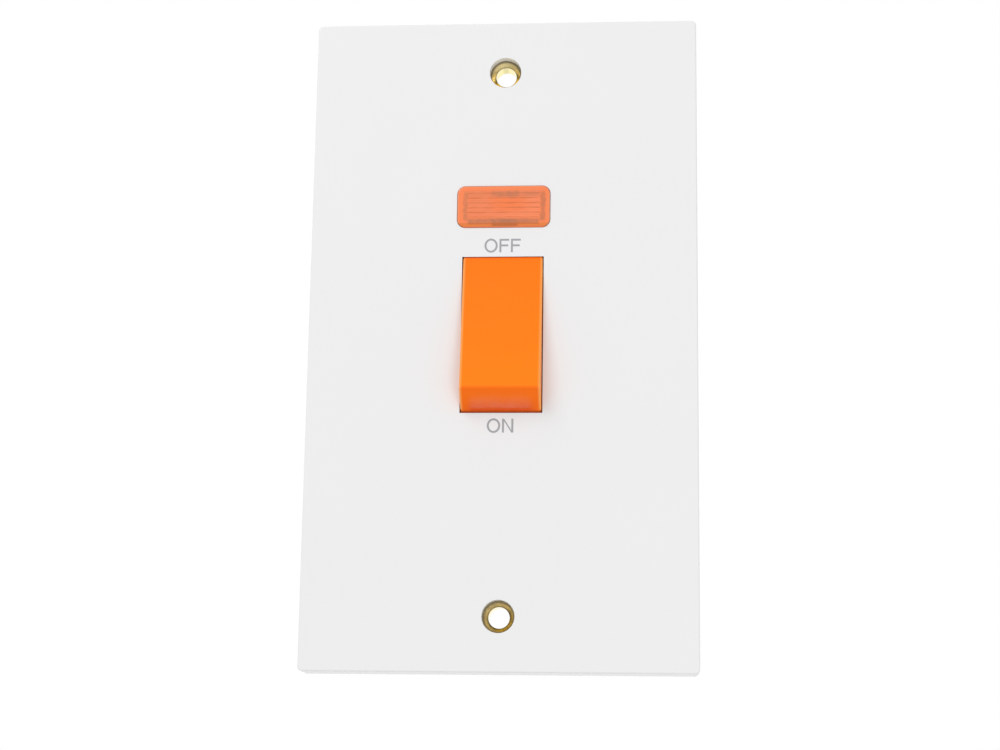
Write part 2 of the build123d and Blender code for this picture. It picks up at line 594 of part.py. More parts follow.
def switch_frame():
    """Moulded frame: a turret round the rocker, its bearings and a flange that shuts the base."""
    frame = slab(-TURRET_HALF_WIDTH, TURRET_HALF_WIDTH, Y_INNER, Y_FLANGE,
                 Z_PIVOT - TURRET_HALF_HEIGHT, Z_PIVOT + TURRET_HALF_HEIGHT)
    frame += rounded_slab(2 * BASE_HALF_WIDTH, 2 * FLANGE_HALF_HEIGHT, BASE_CORNER_RADIUS,
                          Y_FLANGE, Y_PARTING, 0, Z_PIVOT)
    frame += fixing_ears(Y_FLANGE, Y_PARTING)
    frame -= slab(-CAVITY_HALF_WIDTH, CAVITY_HALF_WIDTH, Y_INNER - RUN_OUT, Y_FLANGE,
                  Z_PIVOT - CAVITY_HALF_HEIGHT, Z_PIVOT + CAVITY_HALF_HEIGHT)
    frame -= slab(-CAVITY_HALF_WIDTH, CAVITY_HALF_WIDTH, Y_FLANGE - RUN_OUT, Y_PARTING + RUN_OUT,
                  Z_PIVOT - WINDOW_HALF_LENGTH, Z_PIVOT + WINDOW_HALF_LENGTH)
    bearing_end = CAVITY_HALF_WIDTH + TRUNNION_BEARING + TRUNNION_END_GAP
    frame -= rod_x(TRUNNION_RADIUS + TRUNNION_CLEARANCE, -bearing_end, bearing_end, Y_PIVOT, Z_PIVOT)
    for side in SIDES:
        frame -= rod_y(LEAD_RADIUS + LEAD_CLEARANCE, Y_FLANGE - RUN_OUT, Y_PARTING + RUN_OUT,
                       side * LEAD_X, LEAD_Z)
    return frame - fixing_ear_holes(Y_FLANGE, Y_PARTING)


def screw_window(side, end, grow, y0, y1):
    """Oblong prism round the two screws of one terminal, grown all round by an amount."""
    radius = SCREW_HEAD_DIAMETER / 2 + SCREW_WINDOW_CLEARANCE + grow
    length = SCREW_PITCH + 2 * radius
    z = Z_PIVOT + end * TERMINAL_MIDDLE
    plane = Plane(origin=(side * TERMINAL_X, y0, z), x_dir=(0, 0, 1), z_dir=(0, 1, 0))
    return extrude(plane * SlotOverall(length, 2 * radius), amount=y1 - y0)


def switch_base():
    """Moulded rear housing with a pocket for each strip, lever and terminal."""
    base = rounded_slab(2 * BASE_HALF_WIDTH, 2 * BASE_HALF_HEIGHT, BASE_CORNER_RADIUS,
                        Y_PARTING, Y_REAR, 0, Z_PIVOT)
    base = fillet(base.faces().sort_by(Axis.Y)[-1].edges(), BASE_EDGE_RADIUS)
    base -= slab(-BASE_INNER_HALF_WIDTH, BASE_INNER_HALF_WIDTH, Y_PARTING - RUN_OUT, Y_FLOOR,
                 Z_PIVOT - BASE_INNER_HALF_HEIGHT, Z_PIVOT + BASE_INNER_HALF_HEIGHT)
    base += slab(-BARRIER_THICKNESS / 2, BARRIER_THICKNESS / 2, Y_PARTING, Y_FLOOR,
                 Z_PIVOT - BASE_INNER_HALF_HEIGHT, Z_PIVOT + BASE_INNER_HALF_HEIGHT)
    for end in SIDES:
        base += slab(-BASE_INNER_HALF_WIDTH, BASE_INNER_HALF_WIDTH, Y_PARTING, Y_STRIP - POCKET_CLEARANCE,
                     Z_PIVOT + end * POCKET_END, Z_PIVOT + end * (POCKET_END + POCKET_WALL))
    guide_x = POLE_X + LEVER_WIDTH / 2 + LEVER_SIDE_GAP
    for side in SIDES:
        base += slab(side * guide_x, side * (guide_x + GUIDE_THICKNESS), Y_LEVER - GUIDE_ABOVE_LEVER, Y_FLOOR,
                     Z_PIVOT - GUIDE_HALF_LENGTH, Z_PIVOT + GUIDE_HALF_LENGTH)
    base += fixing_ears(Y_PARTING, Y_EAR_REAR) - slab(-BASE_INNER_HALF_WIDTH, BASE_INNER_HALF_WIDTH,
                                                      Y_PARTING - RUN_OUT, Y_EAR_REAR + RUN_OUT,
                                                      Z_PIVOT - BASE_HALF_HEIGHT, Z_PIVOT + BASE_HALF_HEIGHT)
    base -= fixing_ear_holes(Y_PARTING, Y_EAR_REAR)
    for side in SIDES:
        for end in SIDES:
            base += screw_window(side, end, SHROUD_WALL, Y_REAR, Y_REAR + SHROUD_HEIGHT)
            base -= screw_window(side, end, 0, Y_FLOOR - RUN_OUT, Y_REAR + SHROUD_HEIGHT + RUN_OUT)
            base -= cable_entry(side, end)
    return base


def cable_entry(side, end):
    """Hole in the end wall of the base in front of one terminal's bore."""
    inner = Z_PIVOT + end * (BASE_INNER_HALF_HEIGHT - RUN_OUT)
    outer = Z_PIVOT + end * (BASE_HALF_HEIGHT + RUN_OUT)
    return rod_z(TERMINAL_BORE / 2 + CABLE_CLEARANCE, inner, outer, side * TERMINAL_X, Y_TERMINAL_BORE)


def strip_foot(side, end):
    """Wide end of a contact strip, which lies under its terminal and lets the screws pass."""
    inner_x = side * (BARRIER_THICKNESS / 2 + POCKET_CLEARANCE)
    outer_x = side * (BASE_INNER_HALF_WIDTH - POCKET_CLEARANCE)
    foot = slab(inner_x, outer_x, Y_STRIP, Y_FLOOR,
                Z_PIVOT + end * TERMINAL_INNER_END, Z_PIVOT + end * TERMINAL_OUTER_END)
    radius = SCREW_SHANK_DIAMETER / 2 + SCREW_PASS_CLEARANCE
    for z in screw_places(end):
        foot -= rod_y(radius, Y_STRIP - RUN_OUT, Y_FLOOR + RUN_OUT, side * TERMINAL_X, z)
    return foot


def screw_places(end):
    """Heights of the two screws of the terminals at one end."""
    middle = Z_PIVOT + end * TERMINAL_MIDDLE
    return (middle - SCREW_PITCH / 2, middle + SCREW_PITCH / 2)


def tongue(side, z0, z1):
    """Narrow part of a contact strip, behind its lever."""
    x = side * POLE_X
    half = TONGUE_WIDTH / 2
    return slab(x - half, x + half, Y_STRIP, Y_FLOOR, Z_PIVOT + z0, Z_PIVOT + z1)


def load_strip(side):
    """Brass strip from the fixed contact to the load terminal above it."""
    contact_end = CLOSED_CONTACT_Z - FIXED_CONTACT_DIAMETER / 2
    strip = strip_foot(side, 1) + tongue(side, contact_end, TERMINAL_INNER_END)
    shank_radius = CONTACT_SHANK_DIAMETER / 2
    z = Z_PIVOT + CLOSED_CONTACT_Z
    return strip - rod_y(shank_radius, Y_STRIP - RUN_OUT, Y_FLOOR + RUN_OUT, side * POLE_X, z)


def fixed_contact(side):
    """Silver contact rivet on the load strip."""
    x = side * POLE_X
    z = Z_PIVOT + CLOSED_CONTACT_Z
    head = rod_y(FIXED_CONTACT_DIAMETER / 2, Y_FIXED_CONTACT, Y_STRIP, x, z)
    return head + rod_y(CONTACT_SHANK_DIAMETER / 2, Y_STRIP, Y_FLOOR, x, z)


def supply_strip(side):
    """Brass strip from the supply terminal to the lever's saddle, with the rest for the open lever."""
    strip = strip_foot(side, -1) + tongue(side, -TERMINAL_INNER_END, SADDLE_HALF_LENGTH)
    x = side * POLE_X
    half = TONGUE_WIDTH / 2
    slope = math.tan(LEVER_TILT)
    saddle_top = Y_LEVER + SADDLE_HALF_LENGTH * slope + SADDLE_CLEARANCE
    strip += slab(x - half, x + half, saddle_top, Y_STRIP,
                  Z_PIVOT - SADDLE_HALF_LENGTH, Z_PIVOT + SADDLE_HALF_LENGTH)
    strip -= rod_x(KNUCKLE_RADIUS + KNUCKLE_CLEARANCE, x - half - RUN_OUT, x + half + RUN_OUT, Y_LEVER, Z_PIVOT)
    rest_low = CONTACT_FROM_PIVOT + REST_LENGTH / 2
    rest_high = CONTACT_FROM_PIVOT - REST_LENGTH / 2
    rest_top = Y_LEVER + rest_low * slope + REST_CLEARANCE
    return strip + slab(x - half, x + half, rest_top, Y_STRIP, Z_PIVOT - rest_low, Z_PIVOT - rest_high)


def contact_lever(side):
    """See-saw lever: a flat bar with a round knuckle behind it, on which it rocks."""
    half = LEVER_WIDTH / 2
    bar = slab(-half, half, -LEVER_THICKNESS, 0, -LEVER_HALF_LENGTH, LEVER_HALF_LENGTH)
    knuckle_half = half - KNUCKLE_INSET
    knuckle = rod_x(KNUCKLE_RADIUS, -knuckle_half, knuckle_half, 0, 0)
    knuckle &= slab(-half, half, -LEVER_THICKNESS / 2, KNUCKLE_RADIUS, -KNUCKLE_RADIUS, KNUCKLE_RADIUS)
    hole = rod_y(CONTACT_SHANK_DIAMETER / 2, -LEVER_THICKNESS - RUN_OUT, RUN_OUT, 0, CONTACT_FROM_PIVOT)
    return LEVER_REST * Pos(side * POLE_X, 0, 0) * (bar + knuckle - hole)


def moving_contact(side):
    """Domed silver contact rivet at the upper end of a lever."""
    shank_radius = CONTACT_SHANK_DIAMETER / 2
    dome_middle = CONTACT_RADIUS / 2
    dome_middle_y = DOME_CENTRE + math.sqrt(DOME_RADIUS ** 2 - dome_middle ** 2)
    outline = Polyline((0, -LEVER_THICKNESS), (shank_radius, -LEVER_THICKNESS), (shank_radius, 0),
                       (CONTACT_RADIUS, 0), (CONTACT_RADIUS, CONTACT_DISC))
    outline += ThreePointArc((CONTACT_RADIUS, CONTACT_DISC), (dome_middle, dome_middle_y), (0, CONTACT_HEIGHT))
    outline += Line((0, CONTACT_HEIGHT), (0, -LEVER_THICKNESS))
    rivet = revolve(make_face(outline), axis=Axis.Y)
    return LEVER_REST * Pos(side * POLE_X, 0, CONTACT_FROM_PIVOT) * rivet


def terminal(side, end):
    """Brass tunnel terminal with a bore along Z and two threaded holes from behind."""
    x = side * TERMINAL_X
    half = TERMINAL_WIDTH / 2
    z0 = Z_PIVOT + end * TERMINAL_INNER_END
    z1 = Z_PIVOT + end * TERMINAL_OUTER_END
    block = slab(x - half, x + half, Y_TERMINAL_FRONT, Y_STRIP, z0, z1)
    block -= rod_z(TERMINAL_BORE / 2, min(z0, z1) - RUN_OUT, max(z0, z1) + RUN_OUT, x, Y_TERMINAL_BORE)
    thread_radius = SCREW_SHANK_DIAMETER / 2 + SCREW_THREAD_CLEARANCE
    for z in screw_places(end):
        block -= rod_y(thread_radius, Y_TERMINAL_BORE, Y_STRIP + RUN_OUT, x, z)
    return block


def load_terminal(side):
    """Upper terminal, with a small socket in front for its lamp lead."""
    socket = rod_y(LEAD_RADIUS, Y_TERMINAL_FRONT - RUN_OUT, Y_TERMINAL_FRONT + LEAD_SOCKET,
                   side * LEAD_X, LEAD_Z)
    return terminal(side, 1) - socket


def terminal_screws():
    """Clamping screws of the four terminals, backed out of their bores."""
    tip = Y_TERMINAL_BORE + TERMINAL_BORE / 2 + SCREW_BACK_OFF
    screw = slotted_screw(SCREW_SHANK_DIAMETER / 2, TERMINAL_SCREW_LENGTH, SCREW_HEAD_DIAMETER / 2)
    screws = []
    for side in SIDES:
        for end in SIDES:
            for z in screw_places(end):
                screws.append(Pos(side * TERMINAL_X, tip + TERMINAL_SCREW_LENGTH, z) * screw)
    return Compound(children=screws)


def mechanism_screws():
    """Four screws through the ears of the base and the frame into the plate's posts."""
    screw = slotted_screw(FIX_SCREW_SHANK_DIAMETER / 2, FIX_SCREW_LENGTH, FIX_SCREW_HEAD_DIAMETER / 2)
    screws = []
    for side in SIDES:
        for end in SIDES:
            screws.append(Pos(side * EAR_X, Y_EAR_REAR, Z_PIVOT + end * EAR_Z) * screw)
    return Compound(children=screws)


def neon_lens():
    """Amber lens: a rounded cap with fine ribs inside and a snap hook above and below."""
    lens = rounded_slab(LENS_WIDTH, LENS_HEIGHT, LENS_CORNER_RADIUS, Y_LENS, Y_LENS_RIM, 0, LENS_Z)
    lens = fillet(lens.faces().sort_by(Axis.Y)[0].edges(), LENS_EDGE_RADIUS)
    inner_face = Y_LENS + LENS_FACE_WALL
    inner_radius = LENS_CORNER_RADIUS - LENS_SIDE_WALL
    lens -= rounded_slab(LENS_WIDTH - 2 * LENS_SIDE_WALL, LENS_HEIGHT - 2 * LENS_SIDE_WALL, inner_radius,
                         inner_face, Y_LENS_RIM + RUN_OUT, 0, LENS_Z)
    half_base = LENS_RIB_BASE / 2
    root = inner_face - LENS_RIB_HEIGHT
    for index in range(LENS_RIB_COUNT):
        z = LENS_Z + (index - (LENS_RIB_COUNT - 1) / 2) * LENS_RIB_PITCH
        section = Polyline((root, z - half_base), (inner_face, z - half_base),
                           (inner_face + LENS_RIB_HEIGHT, z), (inner_face, z + half_base),
                           (root, z + half_base), close=True)
        lens += extrude(Plane.YZ * make_face(section), amount=LENS_RIB_LENGTH / 2, both=True)
    hook_front = Y_INNER + HOOK_CLEARANCE
    half_hook = HOOK_WIDTH / 2
    for end in SIDES:
        root_z = LENS_Z + end * (LENS_HEIGHT / 2 - LENS_SIDE_WALL)
        tip_z = LENS_Z + end * HOOK_TIP
        lens += slab(-half_hook, half_hook, hook_front, hook_front + HOOK_THICKNESS, root_z, tip_z)
    return lens


def neon_holder():
    """White tray behind the lens that carries the lamp and is staked to the plate's pegs."""
    tray = slab(-HOLDER_HALF_WIDTH, HOLDER_HALF_WIDTH, Y_INNER, Y_HOLDER_REAR,
                LENS_Z - HOLDER_HALF_HEIGHT, LENS_Z + HOLDER_HALF_HEIGHT)
    tray -= slab(-HOLDER_INNER_HALF_WIDTH, HOLDER_INNER_HALF_WIDTH, Y_INNER - RUN_OUT, Y_HOLDER_FLOOR,
                 LENS_Z - HOLDER_INNER_HALF_HEIGHT, LENS_Z + HOLDER_INNER_HALF_HEIGHT)
    seat_radius = LAMP_RADIUS + LAMP_SEAT_CLEARANCE
    half_seat = SEAT_THICKNESS / 2
    notch_half = LEAD_RADIUS + LEAD_CLEARANCE
    notch_depths = {-1: Y_LAMP, 1: Y_RESISTOR}
    for side in SIDES:
        x = side * SEAT_X
        seat = slab(x - half_seat, x + half_seat, Y_LAMP + SEAT_BEHIND_AXIS, Y_HOLDER_FLOOR,
                    LENS_Z - SEAT_HALF_HEIGHT, LENS_Z + SEAT_HALF_HEIGHT)
        tray += seat - rod_x(seat_radius, x - SEAT_THICKNESS, x + SEAT_THICKNESS, Y_LAMP, LENS_Z)
        ear_end = side * (HOLDER_HALF_WIDTH + HOLDER_EAR_LENGTH)
        ear = slab(side * HOLDER_HALF_WIDTH, ear_end, Y_INNER, Y_INNER + HOLDER_EAR_THICKNESS,
                   LENS_Z - HOLDER_EAR_HALF_HEIGHT, LENS_Z + HOLDER_EAR_HALF_HEIGHT)
        tray += ear - rod_y(PEG_DIAMETER / 2 + PEG_CLEARANCE, Y_INNER - RUN_OUT,
                            Y_INNER + HOLDER_EAR_THICKNESS + RUN_OUT, side * PEG_X, LENS_Z)
        lead_x = side * LEAD_X
        tray -= slab(lead_x - notch_half, lead_x + notch_half, Y_INNER - RUN_OUT,
                     notch_depths[side] + notch_half,
                     LENS_Z - HOLDER_HALF_HEIGHT - RUN_OUT, LENS_Z - HOLDER_INNER_HALF_HEIGHT + RUN_OUT)
    return tray


def lamp_body(radius, start_x, shoulder_x, start_radius, half_length, dome):
    """Solid of the lamp's outline, turned about X: a shoulder, a straight wall and a round end."""
    outline = Polyline((start_x, 0), (start_x, start_radius), (shoulder_x, radius), (half_length, radius))
    outline += EllipticalCenterArc((half_length, 0), dome, radius, arc_size=90)
    outline += Line((half_length + dome, 0), (start_x, 0))
    return revolve(make_face(outline), axis=Axis.X)


def electrode_heights():
    """Heights of the lower and the upper electrode."""
    return (LENS_Z - ELECTRODE_SPACING / 2, LENS_Z + ELECTRODE_SPACING / 2)


def neon_glass():
    """Glass of the neon lamp, with a solid pinch where its wires leave."""
    half = LAMP_BODY_HALF_LENGTH
    outer = lamp_body(LAMP_RADIUS, PINCH_END_X, -half, LAMP_PINCH_DIAMETER / 2, half, LAMP_DOME)
    inner_radius = LAMP_RADIUS - LAMP_GLASS
    inner = lamp_body(inner_radius, -half, -half + LAMP_GLASS, inner_radius - LAMP_GLASS, half,
                      LAMP_DOME - LAMP_GLASS)
    glass = Pos(0, Y_LAMP, LENS_Z) * (outer - inner)
    for z in electrode_heights():
        glass -= rod_x(ELECTRODE_DIAMETER / 2, PINCH_END_X - RUN_OUT, -half + RUN_OUT, Y_LAMP, z)
    return glass


def neon_electrodes():
    """The lamp's two electrodes and their wires: one to a lead, one round to the resistor."""
    lower_z, upper_z = electrode_heights()
    radius = ELECTRODE_DIAMETER / 2
    inner_x = PINCH_END_X + ELECTRODE_INSIDE
    lower = rod_x(radius, WIRE_END_X, inner_x, Y_LAMP, lower_z)
    route = [
        (inner_x, Y_LAMP, upper_z),
        (WIRE_END_X, Y_LAMP, upper_z),
        (WIRE_END_X, Y_RESISTOR, Z_RESISTOR),
        (-RESISTOR_LENGTH / 2, Y_RESISTOR, Z_RESISTOR),
    ]
    return Compound(children=[lower, wire_along(route, radius, ELECTRODE_BEND)])


def neon_resistor():
    """Resistor above the lamp, with end caps and a tail to the right-hand lead."""
    half = RESISTOR_LENGTH / 2
    body = rod_x(RESISTOR_RADIUS - RESISTOR_CAP_STEP, -half, half, Y_RESISTOR, Z_RESISTOR)
    for side in SIDES:
        body += rod_x(RESISTOR_RADIUS, side * half, side * (half - RESISTOR_CAP_LENGTH), Y_RESISTOR, Z_RESISTOR)
    return body + rod_x(TAIL_DIAMETER / 2, half, -WIRE_END_X, Y_RESISTOR, Z_RESISTOR)


def neon_lead(side):
    """Insulated lead from the lamp's wires down to its load terminal."""
    lower_z = electrode_heights()[0]
    starts = {-1: (Y_LAMP, lower_z), 1: (Y_RESISTOR, Z_RESISTOR)}
    y, z = starts[side]
    x = side * LEAD_X
    route = [
        (-side * WIRE_END_X, y, z),
        (x, y, z),
        (x, y, LEAD_Z),
        (x, Y_TERMINAL_FRONT + LEAD_SOCKET, LEAD_Z),
    ]
    return wire_along(route, LEAD_RADIUS, LEAD_BEND)


def all_nodes():
    """Every piece of the switch by its name."""
    nodes = {
        "front_plate": front_plate(),
        "upper_eyelet": eyelet(FIXING_Z),
        "lower_eyelet": eyelet(-FIXING_Z),
        "earth_strap": earth_strap(),
        "earth_terminal": earth_terminal(),
        "earth_screw": earth_screw(),
        "neon_lens": neon_lens(),
        "neon_holder": neon_holder(),
        "neon_glass": neon_glass(),
        "neon_electrodes": neon_electrodes(),
        "neon_resistor": neon_resistor(),
        "switch_frame": switch_frame(),
        "switch_base": switch_base(),
        "rocker": rocker(),
        "terminal_screws": terminal_screws(),
        "mechanism_screws": mechanism_screws(),
    }
    for side, name in SIDE_NAMES.items():
        nodes["neon_lead_" + name] = neon_lead(side)
        nodes["plunger_" + name] = plunger(side)
        nodes["plunger_spring_" + name] = plunger_spring(side)
        nodes["contact_lever_" + name] = contact_lever(side)
        nodes["moving_contact_" + name] = moving_contact(side)
        nodes["fixed_contact_" + name] = fixed_contact(side)
        nodes["load_strip_" + name] = load_strip(side)
        nodes["supply_strip_" + name] = supply_strip(side)
        nodes["load_terminal_" + name] = load_terminal(side)
        nodes["supply_terminal_" + name] = terminal(side, -1)
    return nodes


os.makedirs("parts", exist_ok=True)
for node_name, node_shape in all_nodes().items():
    export_step(node_shape, "parts/" + node_name + ".step")
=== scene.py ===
import json
import math

import bmesh
import bpy
from bpy.props import FloatProperty, FloatVectorProperty, IntProperty, PointerProperty
from bpy.types import Operator, Panel, PropertyGroup
from mathutils import Matrix, Vector


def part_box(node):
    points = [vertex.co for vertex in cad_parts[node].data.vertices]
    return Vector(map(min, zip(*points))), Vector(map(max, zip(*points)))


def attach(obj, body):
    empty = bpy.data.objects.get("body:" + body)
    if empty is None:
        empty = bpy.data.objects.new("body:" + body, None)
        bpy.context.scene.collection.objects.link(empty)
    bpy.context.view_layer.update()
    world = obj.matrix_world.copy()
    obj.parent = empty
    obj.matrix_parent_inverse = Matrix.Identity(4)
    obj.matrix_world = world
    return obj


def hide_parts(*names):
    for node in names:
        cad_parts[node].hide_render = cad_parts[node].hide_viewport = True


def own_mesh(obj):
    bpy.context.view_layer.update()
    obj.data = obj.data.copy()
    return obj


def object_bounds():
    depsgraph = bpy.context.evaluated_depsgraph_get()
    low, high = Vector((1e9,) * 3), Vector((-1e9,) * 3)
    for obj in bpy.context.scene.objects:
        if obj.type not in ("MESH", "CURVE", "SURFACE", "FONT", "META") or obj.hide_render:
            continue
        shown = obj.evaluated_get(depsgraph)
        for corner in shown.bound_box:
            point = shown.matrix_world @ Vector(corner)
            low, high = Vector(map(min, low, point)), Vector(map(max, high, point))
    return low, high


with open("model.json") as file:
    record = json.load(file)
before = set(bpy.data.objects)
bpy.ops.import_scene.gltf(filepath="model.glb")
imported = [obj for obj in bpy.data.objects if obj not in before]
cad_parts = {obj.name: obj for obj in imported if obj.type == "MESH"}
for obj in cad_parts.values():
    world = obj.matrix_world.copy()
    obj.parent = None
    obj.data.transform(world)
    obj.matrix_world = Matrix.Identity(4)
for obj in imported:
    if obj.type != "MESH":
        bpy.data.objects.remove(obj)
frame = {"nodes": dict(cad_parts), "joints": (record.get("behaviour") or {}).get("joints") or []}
CAD_LOW, CAD_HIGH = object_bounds()

bl_info = {
    "name": "Double Pole Switch",
    "version": (1, 0, 0),
    "blender": (4, 5, 0),
    "location": "View3D > Sidebar > Switch",
    "description": "Finishes, print, screws, springs and stage of a double pole wall switch",
    "category": "Object",
}

MM = 0.001
SIDE_NAMES = ("left", "right")
JOINTS = {joint["name"]: joint for joint in frame["joints"]}
PIVOT = Vector(JOINTS["rocker_tilt"]["pos_m"])
SHARP_ANGLE = math.radians(32)
EVEN = (1.0, 1.0, 1.0)
WHITE = (1.0, 1.0, 1.0, 1.0)


# Sizes and colours that a user would change

class SwitchSizes(PropertyGroup):
    """Sizes of the print, the screws and the springs."""

    letter_height: FloatProperty(
        name="Letter height", description="Height of the capitals", default=3.02 * MM, unit="LENGTH")
    letter_stroke: FloatProperty(
        name="Letter stroke", description="Width of a letter's line", default=0.42 * MM, unit="LENGTH")
    letter_gap: FloatProperty(
        name="Letter gap", description="Space between two letters", default=0.4 * MM, unit="LENGTH")
    letter_middle: FloatProperty(
        name="Letter middle", description="Level midway between the two words",
        default=0.465 * MM, unit="LENGTH")
    letter_offset: FloatProperty(
        name="Letter offset", description="Height of a word above or below the level midway",
        default=19.995 * MM, unit="LENGTH")
    letter_shift: FloatProperty(
        name="Letter shift", description="Distance of the words from the middle of the plate",
        default=-0.12 * MM, unit="LENGTH")
    print_thickness: FloatProperty(
        name="Print thickness", description="How far the print stands on the plate",
        default=0.02 * MM, unit="LENGTH")
    clamp_shank: FloatProperty(
        name="Clamp shank", description="Radius of a terminal screw's thread",
        default=1.95 * MM, unit="LENGTH")
    clamp_head: FloatProperty(
        name="Clamp head", description="Radius of a terminal screw's head", default=2.9 * MM, unit="LENGTH")
    clamp_pitch: FloatProperty(
        name="Clamp thread pitch", description="Pitch of a terminal screw's thread",
        default=0.7 * MM, unit="LENGTH")
    clamp_spacing: FloatProperty(
        name="Clamp spacing", description="Distance between the two screws of a terminal",
        default=6.4 * MM, unit="LENGTH")
    fixing_shank: FloatProperty(
        name="Fixing shank", description="Radius of a mechanism screw's thread",
        default=1.45 * MM, unit="LENGTH")
    fixing_head: FloatProperty(
        name="Fixing head", description="Radius of a mechanism screw's head",
        default=2.8 * MM, unit="LENGTH")
    fixing_pitch: FloatProperty(
        name="Fixing thread pitch", description="Pitch of a mechanism screw's thread",
        default=1.1 * MM, unit="LENGTH")
    head_height: FloatProperty(
        name="Head height", description="Height of every screw's head", default=2.0 * MM, unit="LENGTH")
    slot_width: FloatProperty(
        name="Slot width", description="Width of a screw's slot", default=0.9 * MM, unit="LENGTH")
    slot_depth: FloatProperty(
        name="Slot depth", description="Depth of a screw's slot", default=1.1 * MM, unit="LENGTH")
    spring_wire: FloatProperty(
        name="Spring wire", description="Radius of the spring's wire", default=0.25 * MM, unit="LENGTH")
    spring_coil: FloatProperty(
        name="Spring coil", description="Radius of the coil at the middle of its wire",
        default=1.35 * MM, unit="LENGTH")
    spring_start: FloatProperty(
        name="Spring start", description="Distance from the pivot to the plunger's end of the coil",
        default=5.3 * MM, unit="LENGTH")
    spring_length: FloatProperty(
        name="Spring length", description="Length of the coil at rest", default=6.0 * MM, unit="LENGTH")
    spring_turns: IntProperty(
        name="Spring turns", description="Turns of the coil, with the two closed ends", default=6)


class SwitchColours(PropertyGroup):
    """Colours of the mouldings, the lens and the print."""

    plate: FloatVectorProperty(
        name="Plate", description="White of the wall plate", subtype="COLOR", default=(0.86, 0.86, 0.865))
    rocker: FloatVectorProperty(
        name="Rocker", description="Orange of the rocker", subtype="COLOR", default=(1.0, 0.215, 0.004))
    lens: FloatVectorProperty(
        name="Lens", description="Amber of the neon lens", subtype="COLOR", default=(1.0, 0.243, 0.079))
    ink: FloatVectorProperty(
        name="Print", description="Grey of the lettering", subtype="COLOR", default=(0.34, 0.345, 0.36))
    base: FloatVectorProperty(
        name="Base", description="Grey of the rear housing", subtype="COLOR", default=(0.2, 0.21, 0.22))
    frame: FloatVectorProperty(
        name="Frame", description="White of the inner frame", subtype="COLOR", default=(0.74, 0.73, 0.69))
    brass: FloatVectorProperty(
        name="Brass", description="Colour of the inner brass pieces", subtype="COLOR",
        default=(0.78, 0.58, 0.24))
    eyelet: FloatVectorProperty(
        name="Eyelet", description="Pale gold of the two eyelets", subtype="COLOR",
        default=(0.92, 0.77, 0.45))


class SwitchStage(PropertyGroup):
    """Camera and light of the picture."""

    focal_length: FloatProperty(
        name="Focal length", description="Length of the camera's lens in millimetres", default=76.0)
    floor_drop: FloatProperty(
        name="Floor drop", description="Depth of the floor below the plate", default=0.65, unit="LENGTH")
    sky_level: FloatProperty(
        name="Sky level", description="Strength of the even light from all sides", default=0.65)
    key_power: FloatProperty(
        name="Key power", description="Power of the large soft lamp above", default=4.8, unit="POWER")
    fill_power: FloatProperty(
        name="Fill power", description="Power of the soft lamp below", default=1.7, unit="POWER")


# Node trees

class Wire:
    """An output socket of a node tree. Sums and products of wires add Math nodes to the tree."""

    def __init__(self, tree, socket=None):
        self.tree = tree
        self.socket = socket

    def node(self, kind, settings=None, sockets=None, output=0):
        """Add any node: its settings first, then the values or links of its sockets."""
        node = self.tree.nodes.new(kind)
        for name, value in (settings or {}).items():
            if name == "stops":
                set_stops(node.color_ramp, value)
            else:
                setattr(node, name, value)
        for name, value in (sockets or {}).items():
            socket = pick(node.inputs, name)
            for item in value if isinstance(value, list) else [value]:
                if isinstance(item, Wire):
                    self.tree.links.new(item.socket, socket)
                else:
                    socket.default_value = item
        return Wire(self.tree, pick(node.outputs, output) if node.outputs else None)

    def maths(self, operation, *values):
        """Add a Math node with these values."""
        return self.node("ShaderNodeMath", {"operation": operation}, dict(enumerate(values)))

    def __add__(self, other):
        return self.maths("ADD", self, other)

    def __radd__(self, other):
        return self.maths("ADD", other, self)

    def __sub__(self, other):
        return self.maths("SUBTRACT", self, other)

    def __rsub__(self, other):
        return self.maths("SUBTRACT", other, self)

    def __mul__(self, other):
        return self.maths("MULTIPLY", self, other)

    def __rmul__(self, other):
        return self.maths("MULTIPLY", other, self)

    def __truediv__(self, other):
        return self.maths("DIVIDE", self, other)

    def __rtruediv__(self, other):
        return self.maths("DIVIDE", other, self)

    def __abs__(self):
        return self.maths("ABSOLUTE", self)


def pick(sockets, key):
    """A socket by its number, its identifier or its name."""
    if isinstance(key, int):
        return sockets[key]
    for socket in sockets:
        if socket.identifier == key:
            return socket
    return sockets[key]


def set_stops(ramp, stops):
    """Give a colour ramp its (place, colour) stops."""
    while len(ramp.elements) < len(stops):
        ramp.elements.new(1.0)
    for element, (place, colour) in zip(ramp.elements, stops):
        element.position = place
        element.color = opaque(colour)


def opaque(colour):
    """Colour with full alpha."""
    return (*colour[:3], 1.0)


def shade(colour, factor):
    """Colour made darker or lighter by a factor."""
    return tuple(part * factor for part in colour[:3])


# Patterns that the finishes share

def along(place, axis):
    """One coordinate of a place, in metres."""
    return place.node("ShaderNodeSeparateXYZ", sockets={"Vector": place}, output=axis)


def grain(place, size, detail=2.0, stretch=EVEN):
    """Noise from 0 to 1 whose spots are about one size across before they are stretched."""
    scale = tuple(1.0 / part for part in stretch)
    drawn = place.node("ShaderNodeMapping", sockets={"Vector": place, "Scale": scale})
    return place.node("ShaderNodeTexNoise", sockets={"Vector": drawn, "Scale": 1.0 / size, "Detail": detail})


def apart(first, second):
    """Distance of a place from an axis, from its two coordinates across that axis."""
    square = first * first + second * second
    return square.maths("SQRT", square)


def stripes(value, pitch):
    """Narrow lines at an even pitch, 1 in the middle of a line."""
    share = value / pitch
    wave = abs(share.maths("FRACT", share) * 2 - 1)
    return wave * wave


def ramp(value, length, stops):
    """Colour by a value from 0 to a length, from (place, colour) stops."""
    share = value / length
    places = [(place / length, colour) for place, colour in stops]
    return share.node("ShaderNodeValToRGB", {"stops": places}, {"Fac": share})


